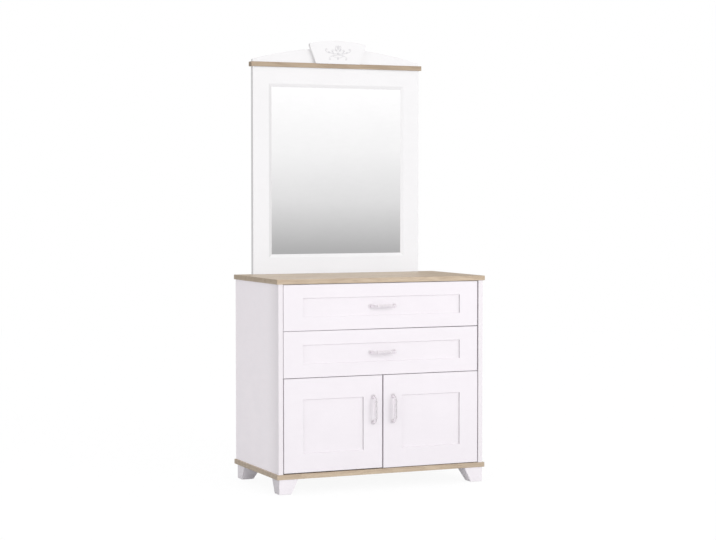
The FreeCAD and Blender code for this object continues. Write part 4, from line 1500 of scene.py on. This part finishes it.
@dataclass
class Carcass:
    """The fixed cabinet between its feet and its worktop.

    Args:
        oak_break: How wide the worktop's and base board's corners are broken.
        foot_break: How wide the feet's corners are broken.
        guide_break: How wide the drawer guides' corners are broken.
    """

    oak_break: float = 0.8 * MM
    foot_break: float = 1.2 * MM
    guide_break: float = 0.6 * MM

    def build(self) -> None:
        """Builds the cabinet's pieces."""
        ease_board("worktop", OAK, self.oak_break)
        ease_board("base_board", OAK_BASE, self.oak_break)
        for node in ("left_side_panel", "right_side_panel", "divider_board", "back_rail",
                     "adjustable_shelf", "door_stop"):
            ease_board(node, CARCASS_WHITE)
        for foot, finish in (("front_left", LEFT_FOOT_SHADED_WHITE), ("front_right", RIGHT_FOOT_LIT_WHITE),
                             ("back_left", FOOT_WHITE), ("back_right", FOOT_WHITE)):
            ease_board(f"{foot}_foot", finish, self.foot_break)
        ease_board("drawer_guides", PLASTIC, self.guide_break)
        ease_board("hinge_arms", STEEL, STEEL_BREAK)
        dress_nodes(PLASTIC, "foot_glides")
        dress_nodes(CAST, "cam_locks")
        dress_nodes(HARDBOARD, "back_panel")
        dress_nodes(BEECH, "carcass_dowels")
        dress_nodes(STEEL, "shelf_pins", "cam_bolts", "foot_screws", "guide_screws")
        replace_screws("hinge_plate_screws", None)


@dataclass
class Mirror:
    """The framed mirror and what holds it.

    Args:
        top_edge: How much of the frame's height rises with the cornice.
    """

    top_edge: float = 5 * MM

    def build(self) -> None:
        """Builds the mirror's pieces."""
        panel = ease_board("mirror_panel", FRAME_WHITE, FRAME_BREAK, crease=10.0)
        raise_from(panel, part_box("mirror_panel")[1].z - self.top_edge, CORNICE_RISE)
        dress_nodes(MIRROR, "mirror_glass")
        dress_nodes(HARDBOARD, "mirror_backing")
        dress_nodes(BEECH, "glazing_beads")
        ease_board("mirror_brackets", STEEL, STEEL_BREAK)
        replace_screws("bracket_screws")


@dataclass
class Crown:
    """The cornice, the arched pediment, the keystone and its relief.

    Args:
        ornament_width: The relief's full width.
        ornament_height: The relief's full height.
        ornament_rise: From the cornice to the relief's foot.
        leaf_height: How far a leaf stands out.
        least_height: How far the relief stands out at least.
        cornice_break: How wide the cornice's corners are broken.
    """

    ornament_width: float = 114 * MM
    ornament_height: float = 62 * MM
    ornament_rise: float = 14 * MM
    leaf_height: float = 1.2 * MM
    least_height: float = 0.1 * MM
    cornice_break: float = 0.8 * MM

    # How finely a leaf and a scroll are divided: along and across.
    LEAF_STEPS = (21, 13)
    SCROLL_STEPS = (73, 7)
    # Each leaf: its middle across and up, its length and half width, as shares, and its lean
    # in degrees. Leaves that stand off the middle line are repeated on the other side.
    LEAVES = (
        (0.0, 0.82, 0.30, 0.085, 0), (0.0, 0.43, 0.20, 0.08, 0), (0.0, 0.14, 0.20, 0.06, 0),
        (0.085, 0.66, 0.22, 0.055, 34), (0.21, 0.56, 0.20, 0.045, 52),
        (0.33, 0.52, 0.18, 0.04, 64),
    )
    # Each scroll: where it starts across and up, its length, its half width, all in
    # millimetres, its first lean and how far it curls, in degrees, and how late it curls.
    SCROLLS = (
        (4, 25, 73, 1.3, 83, -470, 6), (4, 21, 54, 1.1, 100, 430, 5),
        (2.5, 36, 34, 1.1, 38, -400, 4), (17, 27, 27, 0.9, 52, -330, 3),
        (2, 10, 32, 0.9, 78, -330, 4),
    )

    def build(self) -> None:
        """Builds the crown's pieces."""
        raise_from(ease_board("cornice", OAK_STRIP, self.cornice_break), 0.0, CORNICE_RISE)
        ease_board("pediment", FRAME_WHITE, FRAME_BREAK)
        ease_board("keystone", FRAME_WHITE, FRAME_BREAK)
        dress_nodes(BEECH, "crown_dowels")
        self.add_relief()

    def add_relief(self) -> None:
        """Adds the palmette relief to the keystone's face."""
        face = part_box("keystone")[0].y
        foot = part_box("cornice")[1].z + self.ornament_rise

        def place(along: float, across: float, out: float) -> Vector:
            """The relief's own point in the row's frame."""
            return Vector((across, face - out, foot + along))

        skin = Skin(place)
        for across, up, length, width, lean in self.LEAVES:
            for side in (-1, 1) if across else (1,):
                skin.slab(self.leaf(side * across, up, length, width, side * lean))
        for side in (-1, 1):
            for scroll in self.SCROLLS:
                skin.slab(self.scroll(side, *scroll))
        place_piece("crown_relief", skin.finished(), RELIEF, "carcass", ("crown_ornament",))

    def scroll(
        self, side: int, across: float, up: float, length: float, half: float, lean: float,
        curl: float, late: float,
    ) -> Rows:
        """Draws one thin rounded stem that ends in a curl.

        Args:
            side: -1 on the left and 1 on the right.
            across: Where it starts, from the middle line, in millimetres.
            up: How high it starts, in millimetres.
            length: Its length in millimetres.
            half: Its half width at its start, in millimetres.
            lean: Its first lean from upright, in degrees.
            curl: How far its lean changes up to its end, in degrees.
            late: How late it curls: 1 for evenly, and more for near its end.

        Returns:
            Its raised points.
        """
        count, columns = self.SCROLL_STEPS
        at = Vector((up, across)) * MM
        rows = []
        for share in shares(count):
            angle = math.radians(lean + curl * share**late)
            way = Vector((math.cos(angle), math.sin(angle)))
            slim = half * MM * (1 - 0.45 * share) * (0.25 if share in (0, 1) else 1.0)
            row = []
            for turn in shares(columns):
                offset = 2 * turn - 1
                point = at + Vector((-way.y, way.x)) * (offset * slim)
                height = self.leaf_height * 0.8 * math.sqrt(max(1 - offset**2, 0.0))
                row.append((point.x, side * point.y, max(height, self.least_height), 1.0))
            rows.append(row)
            at = at + way * (length * MM / (count - 1))
        return rows

    def leaf(self, across: float, up: float, length: float, width: float, lean: float) -> Rows:
        """Draws one domed leaf with a sunk midrib.

        Args:
            across: The leaf's middle, as a share of the relief's width.
            up: The leaf's middle, as a share of its height.
            length: The leaf's length, as a share of its height.
            width: The leaf's half width, as a share of its height.
            lean: The lean of its tip from upright, in degrees.

        Returns:
            Its raised points.
        """
        count, columns = self.LEAF_STEPS
        tip = Vector((math.cos(math.radians(lean)), math.sin(math.radians(lean))))
        side = Vector((-tip.y, tip.x))
        middle = Vector((up * self.ornament_height, across * self.ornament_width))
        rows = []
        for share in shares(count):
            half = width * self.ornament_height * max(math.sin(math.pi * share), 0.04) ** 0.9
            spine = middle + tip * ((share - 0.5) * length * self.ornament_height)
            swell = math.sin(math.pi * min(max(share, 0.03), 0.97)) ** 0.5
            row = []
            for turn in shares(columns):
                offset = 2 * turn - 1
                point = spine + side * (offset * half)
                dome = math.sqrt(max(1 - offset**2, 0.0))
                rib = 0.35 * math.exp(-((offset / 0.18) ** 2))
                height = max(self.leaf_height * swell * max(dome - rib, 0.0), self.least_height)
                row.append((point.x, point.y, height, max(dome - 2 * rib, 0.0)))
            rows.append(row)
        return rows


# ---- Studio ---------------------------------------------------------------------------------


@dataclass
class Studio:
    """The floor, the light and the camera.

    Args:
        floor_radius: The round floor's radius.
        lens: The camera's focal length, for a film 36 mm wide.
        eye: Where the camera stands.
        pitch: How far it looks up, in degrees.
        yaw: How far it looks to the right of straight back, in degrees.
        aim: What the lights are turned to.
    """

    floor_radius: float = 8.0
    lens: float = 92.49
    eye: Place = (-2.82125, -6.46245, 1.10655)
    pitch: float = -2.4016
    yaw: float = 23.527
    aim: Place = (0.0, 0.0, 0.8)

    # The light that reflections find near the horizon: height as a sine, and brightness.
    HORIZON = (
        (-0.16, 1.0), (-0.075, 0.6), (-0.04, 0.43), (-0.031, 0.47), (-0.004, 0.785),
        (0.023, 0.96), (0.056, 1.07),
    )
    # Each light's name, place, width and power in watts: a large soft one ahead on the right
    # and a weaker one on the left.
    LIGHTS = (
        ("key_light", (2.4, -6.4, 2.9), 3.8, 112.0),
        ("fill_light", (-5.0, -2.5, 2.2), 3.0, 16.0),
    )

    def build(self) -> None:
        """Builds the studio."""
        mesh = bmesh.new()
        bmesh.ops.create_circle(mesh, cap_ends=True, segments=96, radius=self.floor_radius)
        floor = add_mesh("studio_floor", mesh, FLOOR)
        self.add_world()
        self.add_lights()
        self.add_camera()

    def add_world(self) -> None:
        """Adds white surroundings that darken below the horizon where they are reflected."""
        world = bpy.data.worlds.new("studio_white")
        s = cleared(world)
        path = s.add("ShaderNodeLightPath")
        way = s.parts(s.add("ShaderNodeTexCoord")["Generated"])
        lowest, highest = self.HORIZON[0][0], self.HORIZON[-1][0]
        height = s.add("ShaderNodeMapRange", {0: way["Z"], 1: lowest, 2: highest})[0]
        ramp = s.add("ShaderNodeValToRGB", {"Fac": height})["Color"]
        stops = ramp.node.color_ramp.elements
        for index, (sine, light) in enumerate(self.HORIZON):
            at = (sine - lowest) / (highest - lowest)
            stop = stops[index] if index < 2 else stops.new(at)
            stop.position = at
            stop.color = (light, light, light, 1.0)
        soft = s.mix(s.spread(way["Z"], 0.0, 1.0), (1.20, 1.20, 1.21), (0.74, 0.74, 0.76))
        side = s.spread(way["X"], -0.95, -0.1, 0.5, 1.0)
        behind = s.spread(way["Y"], 0.45, 0.85, 1.0, 0.3)
        seen = s.mix(path["Is Glossy Ray"], soft, s.tone(ramp, s.times(side, behind)))
        colour = s.mix(path["Is Camera Ray"], seen, PURE_WHITE)
        background = s.add("ShaderNodeBackground", {"Color": colour, "Strength": 1.0})[0]
        s.add("ShaderNodeOutputWorld", {"Surface": background})
        bpy.context.scene.world = world

    def add_lights(self) -> None:
        """Adds the lights."""
        for name, at, size, power in self.LIGHTS:
            light = bpy.data.lights.new(name, "AREA")
            light.shape = "DISK"
            light.size = size
            light.energy = power
            lamp = add_object(name, light)
            lamp.location = at
            towards = Vector(self.aim) - Vector(at)
            lamp.rotation_euler = towards.to_track_quat("-Z", "Y").to_euler()
            lamp.visible_glossy = False

    def add_camera(self) -> None:
        """Adds the camera."""
        camera = bpy.data.cameras.new("camera")
        camera.sensor_fit = "HORIZONTAL"
        camera.sensor_width = 36.0
        camera.lens = self.lens
        camera.clip_end = 100.0
        eye = add_object("camera", camera)
        eye.location = self.eye
        eye.rotation_euler = (math.radians(90 + self.pitch), 0.0, math.radians(-self.yaw))
        bpy.context.scene.camera = eye


def main() -> None:
    """Builds the studio and every sub-assembly, in order."""
    logging.basicConfig(level=logging.INFO, format="%(message)s")
    bpy.context.scene.view_settings.view_transform = "Standard"
    parts: Iterable[Studio | Carcass | Drawer | Door | Mirror | Crown] = (
        Studio(),
        Carcass(),
        Drawer("upper_drawer"),
        Drawer("lower_drawer", tilt=(0.9 * MM, -0.4 * MM)),
        Door("left", lift=1.5 * MM),
        Door("right"),
        Mirror(),
        Crown(),
    )
    for part in parts:
        part.build()
        LOG.info("%s is built", type(part).__name__)


if __name__ == "__main__":
    main()
